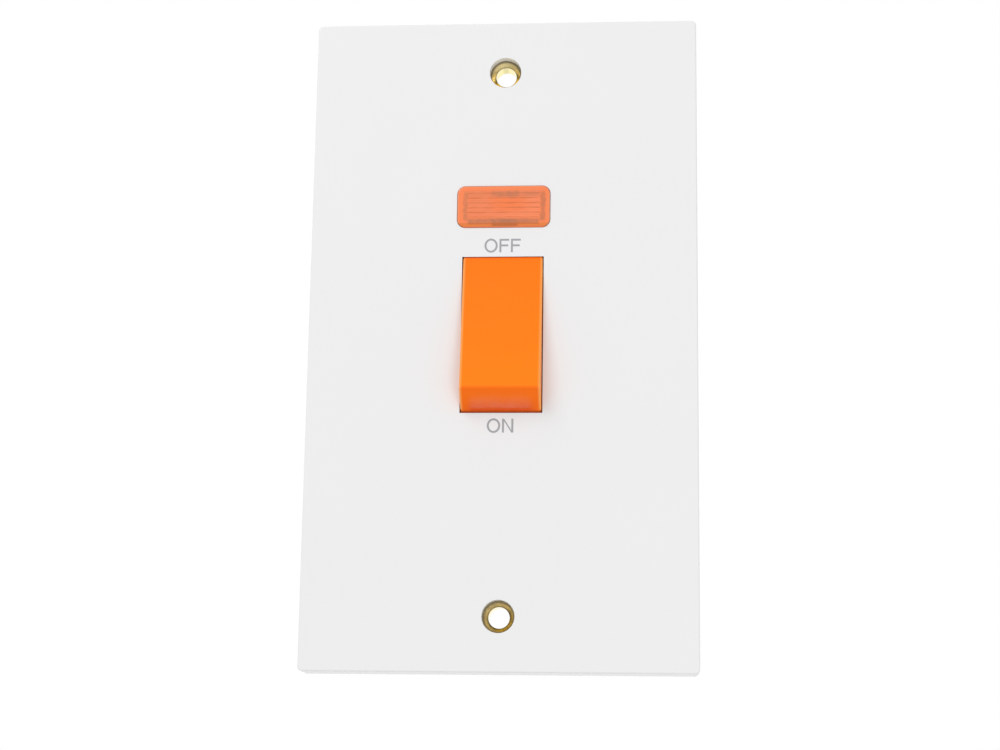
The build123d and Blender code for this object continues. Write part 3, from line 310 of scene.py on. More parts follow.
def above(value, edge, width):
    """Soft step from 0 below an edge to 1 above it."""
    return value.node("ShaderNodeMapRange", {"interpolation_type": "SMOOTHSTEP"},
                      {"Value": value, "From Min": edge - width / 2, "From Max": edge + width / 2})


def band(value, low, high, width):
    """Soft mask that is 1 between two edges."""
    return above(value, low, width) * (1 - above(value, high, width))


def mixed(factor, first, second):
    """Colour between two colours."""
    colours = [item if isinstance(item, Wire) else opaque(item) for item in (first, second)]
    return factor.node("ShaderNodeMix", {"data_type": "RGBA"}, {
        "Factor_Float": factor, "A_Color": colours[0], "B_Color": colours[1]}, "Result_Color")


def relief(height, depth):
    """Normal of a surface that a height from 0 to 1 raises by up to a depth."""
    return height.node("ShaderNodeBump", sockets={"Height": height, "Strength": 1.0, "Distance": depth})


def new_finish(name):
    """New material and the place on the object that its patterns follow."""
    material = bpy.data.materials.new(name)
    material.use_nodes = True
    material.node_tree.nodes.clear()
    return material, Wire(material.node_tree).node("ShaderNodeTexCoord", output="Object")


def close_finish(material, sockets):
    """Give a material its shader."""
    shader = Wire(material.node_tree).node("ShaderNodeBsdfPrincipled", sockets=sockets)
    shader.node("ShaderNodeOutputMaterial", sockets={"Surface": shader})
    return material


# Finishes of the mouldings

def beside(place, low, high, reach):
    """Mask of places that lie within a reach of a box, seen from the front."""
    blend = 0.2 * MM
    middle = (low + high) / 2
    across = abs(along(place, "X") - middle.x) - (high.x - middle.x)
    level = abs(along(place, "Z") - middle.z) - (high.z - middle.z)
    return 1 - above(across.maths("MAXIMUM", across, level), reach, blend)


def plate_finish(colour):
    """White moulding, polished outside and matt inside, with a faint orange peel and painted orange bounce
    light on the walls of its openings.
    """
    material, place = new_finish("plate_white")
    low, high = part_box("front_plate")
    inner_depth = 2.5 * MM
    rim_width = 1.5 * MM
    inner_blend = 0.4 * MM
    opening_reach = 0.8 * MM
    opening_blend = 0.1 * MM
    # painted light: orange bounce light from the lens and the rocker, painted on the walls of their openings
    painted_orange_bounce = (0.95, 0.3, 0.16)
    depth = along(place, "Y") - low.y
    inside = (above(depth, inner_depth, inner_blend)
              * above(high.x - abs(along(place, "X")), rim_width, inner_blend)
              * above(high.z - abs(along(place, "Z")), rim_width, inner_blend))
    near_lens = beside(place, *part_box("neon_lens"), opening_reach)
    near_rocker = beside(place, *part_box("rocker"), opening_reach)
    walls = band(depth, opening_blend, inner_depth - opening_blend, opening_blend)
    cloud = grain(place, 22 * MM)
    peel = grain(place, 1.4 * MM, 1.0)
    matt = grain(place, 0.12 * MM)
    white = mixed(cloud, shade(colour, 0.985), colour)
    return close_finish(material, {
        "Base Color": mixed((near_lens + near_rocker) * walls, white, painted_orange_bounce),
        "Roughness": 0.2 + 0.06 * cloud + 0.3 * inside,
        "Normal": relief(peel * (1 - inside) + matt * inside, 0.002 * MM),
        "IOR": 1.5,
    })


def rocker_finish(colour):
    """Orange moulding: a satin front painted darker at the top and lighter at the bottom, with soft flow
    lines; painted highlights on its long edges, painted light on its side walls, and polished ends with a
    painted glow, painted shade towards the plate and a painted shadow at their foot.
    """
    material, place = new_finish("rocker_orange")
    low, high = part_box("rocker")
    red, green, blue = colour
    # painted shade and light: the front is darker at the top and lighter at the bottom
    painted_dim_top = (red, green * 0.89, blue)
    painted_lit_bottom = (red, green * 1.136, blue)
    # painted glow of the translucent moulding on the ends; end_shade is painted shade on them towards the
    # plate
    painted_glow_end = (red, green * 0.8, blue)
    end_shade = (red * 0.82, green * 0.42, blue)
    # painted highlight along the long edges
    painted_edge_highlight = (red, green * 1.9, blue + 0.1)
    # painted light on the side walls
    painted_lit_side = (red, green * 1.2, blue + 0.01)
    # painted shadow at the foot of the ends, deep in the opening
    painted_foot_shade = (red * 0.53, green * 0.34, blue)
    half_width = 8.7 * MM
    edge_width = 0.4 * MM
    side_skin = 0.04 * MM
    end_skin = 0.3 * MM
    dull_start = 2.0 * MM
    dull_end = 4.2 * MM
    dull_half_width = 6.4 * MM
    shade_start = 3.2 * MM
    shade_half_width = 6.8 * MM
    foot_start = 4.9 * MM
    end_radius = high.z - PIVOT.z
    forward = Vector(JOINTS["plunger_left_slide"]["axis"])
    across = abs(along(place, "X"))
    out = along(place, "Y") - PIVOT.y
    up = along(place, "Z") - PIVOT.z
    tip_out = low.y - PIVOT.y
    tip = Vector((0.0, tip_out, -math.sqrt(end_radius ** 2 - tip_out ** 2)))
    sunk = tip.dot(forward) - (out * forward.y + up * forward.z)
    ends = above(apart(out, up), end_radius - end_skin, 0.3 * MM)
    edges = above(across, half_width - edge_width, 0.7 * MM)
    sides = above(across, half_width - side_skin, side_skin)
    flow = grain(place, 5 * MM, 3.0, (3.0, 1.0, 1.0))
    sheen = grain(place, 0.25 * MM)
    worn = above(grain(place, 1.5 * MM, 3.0, (2.5, 1.0, 1.0)), 0.5, 0.4)
    dull = ends * above(sunk, dull_start, 3.0 * MM) * (1 - above(sunk, dull_end, 0.6 * MM))
    # foot: mask of the painted shadow deep in the opening
    foot = ends * above(sunk, foot_start, 0.7 * MM)
    lower = (end_radius - up) / (high.z - low.z)
    central = 1 - above(across, shade_half_width, 2.4 * MM)
    # front: painted light that grows towards the bottom, with a little noise of flow lines
    front = mixed(lower * 0.8 + flow * 0.2, painted_dim_top, painted_lit_bottom)
    # painted shade down the ends towards the plate, strongest in their middle
    shaded = mixed(above(sunk, shade_start, 3.6 * MM) * (0.25 + 0.75 * central), painted_glow_end, end_shade)
    ended = mixed(ends, front, shaded)
    # painted highlight along the long edges, in the band that edges masks
    edge_highlighted = mixed(edges, ended, painted_edge_highlight)
    # painted light on the side walls, which sides masks
    side_lit = mixed(sides, edge_highlighted, painted_lit_side)
    return close_finish(material, {
        "Base Color": mixed(foot, side_lit, painted_foot_shade),
        "Roughness": 0.24 + 0.08 * sheen,
        "Normal": relief(sheen, 0.0006 * MM),
        "IOR": 1.5,
        "Specular IOR Level": 0.15,
        "Coat Weight": dull * (1 - above(across, dull_half_width, 2.0 * MM)) * (0.9 + 0.6 * worn),
        "Coat Roughness": 0.05,
    })


def plain_moulding(name, colour, roughness, speck, speck_colour):
    """Matt inner moulding with fine specks of filler."""
    material, place = new_finish(name)
    cloud = grain(place, 9 * MM)
    specks = above(grain(place, speck, 1.0), 0.66, 0.06)
    skin = grain(place, 0.15 * MM)
    tinted = mixed(cloud, shade(colour, 0.93), colour)
    return close_finish(material, {
        "Base Color": mixed(specks * 0.5, tinted, speck_colour),
        "Roughness": roughness + 0.12 * cloud,
        "Normal": relief(skin, 0.004 * MM),
    })


def ink_finish(colour):
    """Grey print, a little thin in places."""
    material, place = new_finish("print_grey")
    thin = grain(place, 0.35 * MM)
    return close_finish(material, {
        "Base Color": mixed(thin, colour, shade(colour, 1.12)),
        "Roughness": 0.4 + 0.1 * thin,
    })


# Finishes of the lamp and its leads

def lens_finish(colour):
    """Amber plastic with fine ribs, painted highlights on its rim and between its ribs, painted shadows
    where the walls and latches lie behind it and painted shade along its lower edge.
    """
    material, place = new_finish("lens_amber")
    low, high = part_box("neon_lens")
    red, green, blue = colour
    # painted highlight between the ribs of the window, lighter on the right
    painted_left_highlight = (red * 0.93, green * 1.03, blue * 1.25)
    painted_right_highlight = (red, green * 1.13, blue * 1.45)
    heart_colour = (red, green * 0.92, blue * 0.74)
    rib_colour = (red * 0.74, green * 0.68, blue * 0.66)
    # painted shadow where the walls and latches behind the lens lie
    painted_shadow_behind = (red * 0.5, green * 0.7, blue)
    # painted shade along the lower edge, darker in the middle where the latch lies
    painted_foot_shade = (red * 0.81, green * 0.86, blue * 0.46)
    painted_latch_shade = (red * 0.54, green * 0.55, blue * 0.25)
    # painted shade: a dark line just above the lower edge
    painted_line_shade = (red * 0.55, green * 0.5, blue * 0.25)
    # painted highlight on the rim
    painted_rim_highlight = (red * 0.95, green * 1.32, blue * 1.9)
    middle = (low + high) / 2
    half_width = high.x - middle.x
    half_height = 4.675 * MM
    rim_width = 0.25 * MM
    wall_start = 7.9 * MM
    wall_end = 8.8 * MM
    wall_half_height = 3.3 * MM
    latch_middle = 0.3 * MM
    latch_half_width = 2.9 * MM
    heart_middle = 1.0 * MM
    heart_half_width = 3.5 * MM
    rib_pitch = 1.09 * MM
    rib_shift = 0.3 * MM
    shade_line_low = -4.1 * MM
    shade_line_high = -3.8 * MM
    cloud = grain(place, 1.2 * MM, 3.0)
    spots = above(grain(place, 0.9 * MM, 3.0, (1.6, 1.0, 1.0)), 0.5, 0.4)
    streak = above(grain(place, 0.3 * MM, 2.0, (8.0, 1.0, 1.0)), 0.5, 0.4)
    ragged = (cloud - 0.5) * (1.2 * MM)
    side = along(place, "X") - middle.x
    up = along(place, "Z") - middle.z
    across = abs(side) + ragged
    level = up + ragged * 0.6
    right = above(side, 0.0, 6.0 * MM)
    latch = 1 - above(abs(side - latch_middle) + ragged, latch_half_width, 1.2 * MM)
    inner = 1 - above(across, wall_start, 0.9 * MM)
    window = inner * band(level, -2.5 * MM, 3.5 * MM, 0.6 * MM)
    heart = ((1 - above(abs(side - heart_middle), heart_half_width, 5.0 * MM))
             * band(up, -1.0 * MM, 2.2 * MM, 2.0 * MM))
    walls = band(across, wall_start + 0.2 * MM * right, wall_end + 0.3 * MM * right, 0.6 * MM)
    short_walls = walls * (1 - above(abs(up), wall_half_height, 1.2 * MM))
    top = band(level, 2.1 * MM, 3.45 * MM, 0.8 * MM) * (inner * (0.12 + 0.3 * right) + 0.38 * latch)
    bottom = band(level, -4.1 * MM, -2.8 * MM, 0.7 * MM) * (0.8 * inner + 0.2 * latch)
    # dull: mask of the painted shadow of the walls and latches behind the lens
    dull = (0.55 * short_walls + top + bottom) * (0.8 + 0.3 * spots)
    lines = 0.6 * stripes(up + rib_shift, rib_pitch) + 0.4 * stripes(up + rib_shift, rib_pitch / 2)
    # the ribs also carry painted shadow of the right wall
    ribs = lines * window * (0.45 + 0.9 * streak) + short_walls * right * 0.4
    foot = band(up, -4.5 * MM, shade_line_high, 0.3 * MM)
    # mask of the painted dark line above the lower edge
    shade_line = inner * band(up, shade_line_low, shade_line_high, 0.25 * MM)
    reach = side.maths("MAXIMUM", abs(side) - half_width, up - half_height)
    # rim: mask of the painted highlight
    rim = above(reach, -rim_width, 0.3 * MM)
    # painted highlight over the window between the ribs
    window_highlight = mixed(right, painted_left_highlight, painted_right_highlight)
    highlighted_window = mixed(window * (0.7 + 0.3 * spots), colour, window_highlight)
    tinted = mixed(window * heart, highlighted_window, heart_colour)
    ribbed = mixed(ribs * 1.05, tinted, rib_colour)
    shadowed_behind = mixed(dull, ribbed, painted_shadow_behind)
    # painted shade along the lower edge
    footed = mixed(foot, shadowed_behind, mixed(latch, painted_foot_shade, painted_latch_shade))
    line_shaded = mixed(shade_line * 0.7, footed, painted_line_shade)
    return close_finish(material, {
        "Base Color": mixed(rim, line_shaded, painted_rim_highlight),
        "Roughness": 0.12 + 0.1 * cloud,
        "Transmission Weight": 0.03,
        "IOR": 1.49,
    })


def glass_finish():
    """Clear lamp glass with faint draw lines."""
    material, place = new_finish("lamp_clear")
    lines = grain(place, 0.3 * MM, 1.0, (12.0, 1.0, 1.0))
    return close_finish(material, {
        "Base Color": (0.96, 0.97, 0.96, 1.0),
        "Roughness": 0.02 + 0.05 * lines,
        "Transmission Weight": 1.0,
        "IOR": 1.5,
    })


def resistor_finish():
    """Tan lacquer with four colour bands."""
    material, place = new_finish("resistor_tan")
    low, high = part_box("neon_resistor")
    tan = (0.6, 0.44, 0.27)
    bands = [(1.8 * MM, (0.2, 0.08, 0.03)), (3.0 * MM, (0.02, 0.02, 0.02)), (4.2 * MM, (0.8, 0.6, 0.05)),
             (6.2 * MM, (0.55, 0.4, 0.12))]
    stops = [(0.0, tan)]
    for start, colour in bands:
        stops += [(start, colour), (start + 0.7 * MM, tan)]
    colours = ramp(along(place, "X") - low.x, high.x - low.x, stops)
    colours.socket.node.color_ramp.interpolation = "CONSTANT"
    skin = grain(place, 0.2 * MM)
    return close_finish(material, {
        "Base Color": colours,
        "Roughness": 0.3 + 0.1 * skin,
        "Normal": relief(skin, 0.003 * MM),
    })


def sleeve_finish(name, colour):
    """Soft plastic sleeve of a lead."""
    material, place = new_finish(name)
    skin = grain(place, 0.5 * MM)
    return close_finish(material, {
        "Base Color": mixed(skin, shade(colour, 0.88), colour),
        "Roughness": 0.35 + 0.12 * skin,
        "Normal": relief(skin, 0.004 * MM),
    })


# Finishes of the metals

def eyelet_finish(colour):
    """Turned brass with painted shade on its rim and neck, a gold cup, a painted reflection in its smooth
    bore and painted light on the upper eyelet's cup, which is also less stained.
    """
    material, place = new_finish("eyelet_turned_brass")
    low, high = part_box("upper_eyelet")
    bore_radius = 2.275 * MM
    bore_start = 1.4 * MM
    bore_end = 3.9 * MM
    lip_start = 2.0 * MM
    # bright: painted reflection in the bore
    bright = (1.0, 0.89, 0.42)
    # painted light on the upper eyelet's cup
    painted_upper_light = (1.0, 0.84, 0.4)
    tarnish = shade(colour, 0.42)
    depth = along(place, "Y") - low.y
    radius = apart(along(place, "X"), abs(along(place, "Z")) - (low.z + high.z) / 2)
    upper = above(along(place, "Z"), 0.0, MM)
    outside = above(radius, bore_radius + 0.15 * MM, 0.1 * MM)
    lip = outside * above(depth, lip_start, 0.5 * MM)
    bore = (1 - outside) * above(depth, bore_start - 0.1 * MM, 0.2 * MM)
    cup = band(depth, 0.3 * MM, 1.0 * MM, 0.2 * MM)
    rings = place.node("ShaderNodeTexNoise", {"noise_dimensions": "1D"},
                       {"W": depth, "Scale": 1 / (0.06 * MM)})
    stain = above(grain(place, 1.6 * MM, 2.0), 0.5, 0.4)
    # painted shade on the rim and the neck, painted reflection in the bore
    painted_shade_ramp = ramp(depth, high.y - low.y, [
        (0.0, shade(colour, 0.3)), (0.12 * MM, shade(colour, 0.35)), (0.35 * MM, shade(colour, 0.9)),
        (0.75 * MM, colour), (0.98 * MM, shade(colour, 0.5)), (1.2 * MM, shade(colour, 0.55)),
        (bore_start, bright), (bore_end, bright)])
    # painted light: the upper eyelet's cup is lighter than the lower one's, and its stain is weaker
    polished = mixed(upper * cup * 0.6, painted_shade_ramp, painted_upper_light)
    stained = mixed(stain * (0.6 - 0.5 * upper) * (1 - bore), polished, tarnish)
    return close_finish(material, {
        "Base Color": mixed(lip, stained, shade(colour, 0.8)),
        "Metallic": 1.0,
        "Roughness": 0.03 + (0.1 + 0.12 * rings) * (1 - bore),
        "Normal": relief(rings * (1 - bore), 0.001 * MM),
    })


def metal_finish(name, colour, roughness, stretch, stain_size):
    """Metal with draw marks along its length and a faint stain."""
    material, place = new_finish(name)
    marks = grain(place, 0.06 * MM, 2.0, stretch)
    stain = grain(place, stain_size, 3.0)
    return close_finish(material, {
        "Base Color": mixed(stain, colour, shade(colour, 0.6)),
        "Metallic": 1.0,
        "Roughness": roughness + 0.15 * marks,
        "Normal": relief(marks, 0.002 * MM),
    })


def dress(material, *nodes):
    """Put one finish on pieces of the frame."""
    for name in nodes:
        slots = frame["nodes"][name].material_slots
        for slot in slots:
            slot.material = material


def both(stem):
    """Names of the left and the right piece of a pair."""
    return [stem + "_" + side for side in SIDE_NAMES]


# Pieces made from geometry trees

def new_tree(name, sizes):
    """Geometry tree with points, named sizes and a material as its inputs."""
    tree = bpy.data.node_groups.new(name, "GeometryNodeTree")
    tree.interface.new_socket("Points", in_out="INPUT", socket_type="NodeSocketGeometry")
    for size in sizes:
        tree.interface.new_socket(size, in_out="INPUT", socket_type="NodeSocketFloat")
    tree.interface.new_socket("Material", in_out="INPUT", socket_type="NodeSocketMaterial")
    tree.interface.new_socket("Geometry", in_out="OUTPUT", socket_type="NodeSocketGeometry")
    entry = tree.nodes.new("NodeGroupInput")
    return tree, {socket.name: Wire(tree, socket) for socket in entry.outputs if socket.name}


def close_tree(entry, piece, rotation):
    """Set a piece on every point, make it real and give it its material."""
    placed = piece.node("GeometryNodeInstanceOnPoints",
                        sockets={"Points": entry["Points"], "Instance": piece, "Rotation": rotation})
    real = placed.node("GeometryNodeRealizeInstances", sockets={"Geometry": placed})
    painted = real.node("GeometryNodeSetMaterial", sockets={"Geometry": real, "Material": entry["Material"]})
    painted.node("NodeGroupOutput", sockets={"Geometry": painted})


def reshaped(geometry, x, y, z):
    """Geometry whose points go to a new place."""
    place = geometry.node("ShaderNodeCombineXYZ", sockets={"X": x, "Y": y, "Z": z})
    return geometry.node("GeometryNodeSetPosition", sockets={"Geometry": geometry, "Position": place})


def threaded_shank(tree, entry):
    """Shank along Z with a helical thread and a narrowed tip, its top sunk into the head."""
    radius = entry["Shank Radius"]
    length = entry["Shank Length"]
    pitch = entry["Thread Pitch"]
    sides = 24
    rings_per_turn = 8
    steepness = 1.3
    root = entry["Head Height"] * 0.3
    depth = length + root
    rod = Wire(tree).node("GeometryNodeMeshCylinder", {"fill_type": "NGON"}, {
        "Vertices": sides, "Side Segments": depth / pitch * rings_per_turn,
        "Radius": radius, "Depth": depth})
    place = rod.node("GeometryNodeInputPosition")
    x = along(place, "X")
    y = along(place, "Y")
    z = along(place, "Z") + (root - length) / 2
    turn = z / pitch + x.maths("ARCTAN2", y, x) / math.tau
    ridge = abs(turn.maths("FRACT", turn) * 2 - 1)
    crest = ridge.maths("MINIMUM", ridge * steepness, 1.0)
    tip = z.maths("MINIMUM", (z + length) / pitch, 1.0)
    full = crest.maths("MINIMUM", crest, tip)
    slim = 1 - entry["Thread Depth"] / radius * (1 - full)
    return reshaped(rod, x * slim, y * slim, z)


def slotted_head(tree, entry):
    """Head above the origin with a rounded top edge."""
    radius = entry["Head Radius"]
    height = entry["Head Height"]
    edge = entry["Edge Radius"]
    sides = 40
    layers = 18
    disc = Wire(tree).node("GeometryNodeMeshCylinder", {"fill_type": "NGON"}, {
        "Vertices": sides, "Side Segments": layers, "Radius": radius, "Depth": height})
    place = disc.node("GeometryNodeInputPosition")
    x = along(place, "X")
    y = along(place, "Y")
    z = along(place, "Z") + height / 2
    rise = z.maths("MAXIMUM", z - (height - edge), 0.0)
    arc = edge * edge - rise * rise
    slim = 1 - (edge - arc.maths("SQRT", arc.maths("MAXIMUM", arc, 0.0))) / radius
    return reshaped(disc, x * slim, y * slim, z)


def screw_tree():
    """Slotted screw with a thread, its head behind each point and its tip in front."""
    tree, entry = new_tree("slotted_screw", [
        "Shank Radius", "Shank Length", "Head Radius", "Head Height", "Edge Radius",
        "Slot Width", "Slot Depth", "Thread Pitch", "Thread Depth"])
    most_turn = 0.5
    shank = threaded_shank(tree, entry)
    head = slotted_head(tree, entry)
    whole = head.node("GeometryNodeMeshBoolean", {"operation": "UNION", "solver": "EXACT"},
                      {"Mesh 2": [shank, head]})
    size = head.node("ShaderNodeCombineXYZ", sockets={
        "X": entry["Head Radius"] * 3, "Y": entry["Slot Width"], "Z": entry["Slot Depth"] * 2})
    lift = head.node("ShaderNodeCombineXYZ", sockets={"Z": entry["Head Height"]})
    bar = head.node("GeometryNodeMeshCube", sockets={"Size": size})
    cutter = bar.node("GeometryNodeTransform", sockets={"Geometry": bar, "Translation": lift})
    screw = whole.node("GeometryNodeMeshBoolean", {"operation": "DIFFERENCE", "solver": "EXACT"},
                       {"Mesh 1": whole, "Mesh 2": cutter})
    turn = screw.node("FunctionNodeRandomValue", {"data_type": "FLOAT"},
                      {"Min_001": -most_turn, "Max_001": most_turn, "Seed": 4}, "Value_001")
    rotation = screw.node("ShaderNodeCombineXYZ", sockets={"X": -math.pi / 2, "Y": turn})
    close_tree(entry, screw, rotation)
    return tree


def spring_tree():
    """Coil spring with two closed ends, along Z before it is tilted."""
    tree, entry = new_tree("coil_spring", ["Wire Radius", "Coil Radius", "Length", "Turns", "Tilt"])
    turns = entry["Turns"]
    wire = entry["Wire Radius"]
    steps_per_turn = 28
    wire_sides = 12
    coil = Wire(tree).node("GeometryNodeCurveSpiral", sockets={
        "Resolution": steps_per_turn, "Rotations": turns, "Start Radius": entry["Coil Radius"],
        "End Radius": entry["Coil Radius"], "Height": entry["Length"]})
    place = coil.node("GeometryNodeInputPosition")
    turn = coil.node("GeometryNodeSplineParameter") * turns
    closed = wire * 2.15
    open_pitch = (entry["Length"] - closed * 2) / (turns - 2)
    first = turn.maths("MINIMUM", turn, 1.0)
    middle = turn.maths("MINIMUM", turn.maths("MAXIMUM", turn - 1, 0.0), turns - 2)
    last = turn.maths("MAXIMUM", turn - (turns - 1), 0.0)
    rise = (first + last) * closed + middle * open_pitch
    bent = reshaped(coil, along(place, "X"), along(place, "Y"), rise)
    section = coil.node("GeometryNodeCurvePrimitiveCircle",
                        sockets={"Resolution": wire_sides, "Radius": wire})
    solid = bent.node("GeometryNodeCurveToMesh",
                      sockets={"Curve": bent, "Profile Curve": section, "Fill Caps": True})
    rotation = solid.node("ShaderNodeCombineXYZ", sockets={"X": entry["Tilt"]})
    close_tree(entry, solid, rotation)
    return tree


def grown(name, tree, points, values):
    """Run a tree over points and keep the result as a plain mesh object."""
    seed = bpy.data.meshes.new(name + "_points")
    seed.from_pydata([tuple(point) for point in points], [], [])
    piece = bpy.data.objects.new(name, seed)
    bpy.context.scene.collection.objects.link(piece)
    modifier = piece.modifiers.new("tree", "NODES")
    modifier.node_group = tree
    for item in tree.interface.items_tree:
        if item.name in values:
            modifier[item.identifier] = values[item.name]
    graph = bpy.context.evaluated_depsgraph_get()
    mesh = bpy.data.meshes.new_from_object(piece.evaluated_get(graph), depsgraph=graph)
    piece.modifiers.remove(modifier)
    piece.data = mesh
    bpy.data.meshes.remove(seed)
    mesh.name = name
    if not mesh.polygons:
        raise RuntimeError("the tree of " + name + " gave no faces")
    mesh.shade_smooth()
    mesh.set_sharp_from_angle(angle=SHARP_ANGLE)
    return piece


# Lettering

def ring_letter(width, height, stroke):
    """Outer and inner outline of a round letter."""
    steps = 48
    loops = []
    for inset in (0.0, stroke):
        half_width = width / 2 - inset
        half_height = height / 2 - inset
        turns = [math.tau * step / steps for step in range(steps)]
        loops.append([
            (width / 2 + half_width * math.cos(turn), half_height * math.sin(turn)) for turn in turns])
    return width, loops


def letter_f(width, height, stroke):
    """Outline of an F, with its middle bar at the middle and shorter than its top bar."""
    top = height / 2
    bar = -0.06 * height
    short = 0.9 * width
    return width, [[
        (0, -top), (stroke, -top), (stroke, bar), (short, bar), (short, bar + stroke),
        (stroke, bar + stroke), (stroke, top - stroke), (width, top - stroke), (width, top), (0, top)]]


def letter_n(width, height, stroke):
    """Outline of an N."""
    top = height / 2
    slant = stroke * 1.25
    inner = width - stroke
    return width, [[
        (0, -top), (stroke, -top), (stroke, top - slant), (inner, -top), (width, -top), (width, top),
        (inner, top), (inner, slant - top), (stroke, top), (0, top)]]


def word(letters, gap):
    """Outlines of a row of letters about its own middle."""
    total = sum(width for width, loops in letters) + gap * (len(letters) - 1)
    start = -total / 2
    outlines = []
    for width, loops in letters:
        for loop in loops:
            outlines.append([(start + x, y) for x, y in loop])
        start += width + gap
    return outlines


def printed(name, outlines, thickness, middle, material):
    """Print on the plate's face: flat outlines made a thin closed mesh about a middle."""
    curve = bpy.data.curves.new(name + "_outline", "CURVE")
    curve.dimensions = "2D"
    curve.fill_mode = "BOTH"
    curve.extrude = thickness
    for outline in outlines:
        spline = curve.splines.new("POLY")
        spline.points.add(len(outline) - 1)
        for point, (x, y) in zip(spline.points, outline):
            point.co = (x, y, 0.0, 1.0)
        spline.use_cyclic_u = True
    drawing = bpy.data.objects.new(name + "_drawing", curve)
    bpy.context.scene.collection.objects.link(drawing)
    graph = bpy.context.evaluated_depsgraph_get()
    mesh = bpy.data.meshes.new_from_object(drawing.evaluated_get(graph), depsgraph=graph)
    bpy.data.objects.remove(drawing)
    bpy.data.curves.remove(curve)
    mesh.name = name
    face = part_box("front_plate")[0].y
    mesh.transform(Matrix.Translation((middle[0], face, middle[1])) @ Matrix.Rotation(math.pi / 2, 4, "X"))
    weld(mesh)
    mesh.materials.clear()
    mesh.materials.append(material)
    piece = bpy.data.objects.new(name, mesh)
    bpy.context.scene.collection.objects.link(piece)
    return piece


def weld(mesh):
    """Join points that lie on each other and turn the faces outwards."""
    made = bmesh.new()
    made.from_mesh(mesh)
    bmesh.ops.remove_doubles(made, verts=made.verts, dist=0.0001 * MM)
    bmesh.ops.recalc_face_normals(made, faces=made.faces)
    made.to_mesh(mesh)
    made.free()


# Stage

def looking(place, aim, roll=0.0):
    """Matrix of a camera or lamp that looks from a place to an aim."""
    turn = (Vector(aim) - Vector(place)).to_track_quat("-Z", "Y").to_matrix().to_4x4()
    return Matrix.Translation(place) @ turn @ Matrix.Rotation(roll, 4, "Z")


def add_lamp(name, place, size, power):
    """Square soft lamp that looks at the switch."""
    data = bpy.data.lights.new(name, "AREA")
    data.size = size
    data.energy = power
    lamp = bpy.data.objects.new(name, data)
    bpy.context.scene.collection.objects.link(lamp)
    lamp.matrix_world = looking(place, PIVOT)


def add_camera(focal_length):
    """Camera at the viewing angle of the picture: a little below and to the right of the plate."""
    data = bpy.data.cameras.new("camera")
    data.lens = focal_length
    data.sensor_width = 36.0
    data.clip_start = 0.01
    camera = bpy.data.objects.new("camera", data)
    bpy.context.scene.collection.objects.link(camera)
    place = (34.8 * MM, -449.01 * MM, -106.16 * MM)
    aim = (-0.28 * MM, -7.0 * MM, -8.44 * MM)
    roll = math.radians(0.8165)
    camera.matrix_world = looking(place, aim, roll)
    bpy.context.scene.camera = camera


def add_floor(height):
    """Pale floor that keeps the shadow near the switch and fades to white far away."""
    reach = 4.0
    fade_middle = 2.0
    fade_width = 1.8
    light_grey = (0.86, 0.86, 0.86)
    lighter_grey = (0.88, 0.88, 0.88)
    mesh = bpy.data.meshes.new("floor")
    corners = [(-reach, -reach), (reach, -reach), (reach, reach), (-reach, reach)]
    mesh.from_pydata([(x, y, height) for x, y in corners], [], [(0, 1, 2, 3)])
    material, place = new_finish("floor_pale")
    cloud = grain(place, 0.4)
    pale = mixed(cloud, light_grey, lighter_grey)
    near = place.node("ShaderNodeBsdfDiffuse", sockets={"Color": pale})
    far = place.node("ShaderNodeEmission", sockets={"Color": WHITE})
    fade = above(apart(along(place, "X"), along(place, "Y")), fade_middle, fade_width)
    surface = place.node("ShaderNodeMixShader", sockets={0: fade, 1: near, 2: far})
    surface.node("ShaderNodeOutputMaterial", sockets={"Surface": surface})
    mesh.materials.append(material)
    floor = bpy.data.objects.new("floor", mesh)
    bpy.context.scene.collection.objects.link(floor)


def add_sky(level):
    """Even light from all sides, white where it is seen directly, in gloss or through glass."""
    world = bpy.data.worlds.new("sky")
    world.use_nodes = True
    world.node_tree.nodes.clear()
    start = Wire(world.node_tree)
    paths = start.node("ShaderNodeLightPath", output="Is Camera Ray")
    outputs = paths.socket.node.outputs
    glossy = Wire(world.node_tree, outputs["Is Glossy Ray"])
    through = Wire(world.node_tree, outputs["Is Transmission Ray"])
    light = start.node("ShaderNodeBackground", sockets={"Color": WHITE, "Strength": level})
    seen = start.node("ShaderNodeBackground", sockets={"Color": WHITE, "Strength": 1.0})
    sky = start.node("ShaderNodeMixShader", sockets={0: paths + glossy + through, 1: light, 2: seen})
    start.node("ShaderNodeOutputWorld", sockets={"Surface": sky})
    bpy.context.scene.world = world


# Operators

class SWITCH_OT_mouldings(Operator):
    """Finish the plate, the rocker and the inner mouldings"""

    bl_idname = "switch.mouldings"
    bl_label = "Finish Mouldings"

    def execute(self, context):
        colours = context.scene.switch_colours
        white = tuple(colours.frame)
        grey = tuple(colours.base)
        nylon = (0.8, 0.77, 0.68)
        nylon_speck = (0.7, 0.66, 0.56)
        dress(plate_finish(tuple(colours.plate)), "front_plate")
        dress(rocker_finish(tuple(colours.rocker)), "rocker")
        dress(plain_moulding("frame_white", white, 0.42, 0.5 * MM, shade(white, 0.9)), "switch_frame")
        dress(plain_moulding("tray_white", shade(white, 1.1), 0.38, 0.4 * MM, white), "neon_holder")
        dress(plain_moulding("base_grey", grey, 0.45, 0.25 * MM, shade(grey, 1.9)), "switch_base")
        dress(plain_moulding("plunger_nylon", nylon, 0.35, 0.3 * MM, nylon_speck), *both("plunger"))
        return {"FINISHED"}


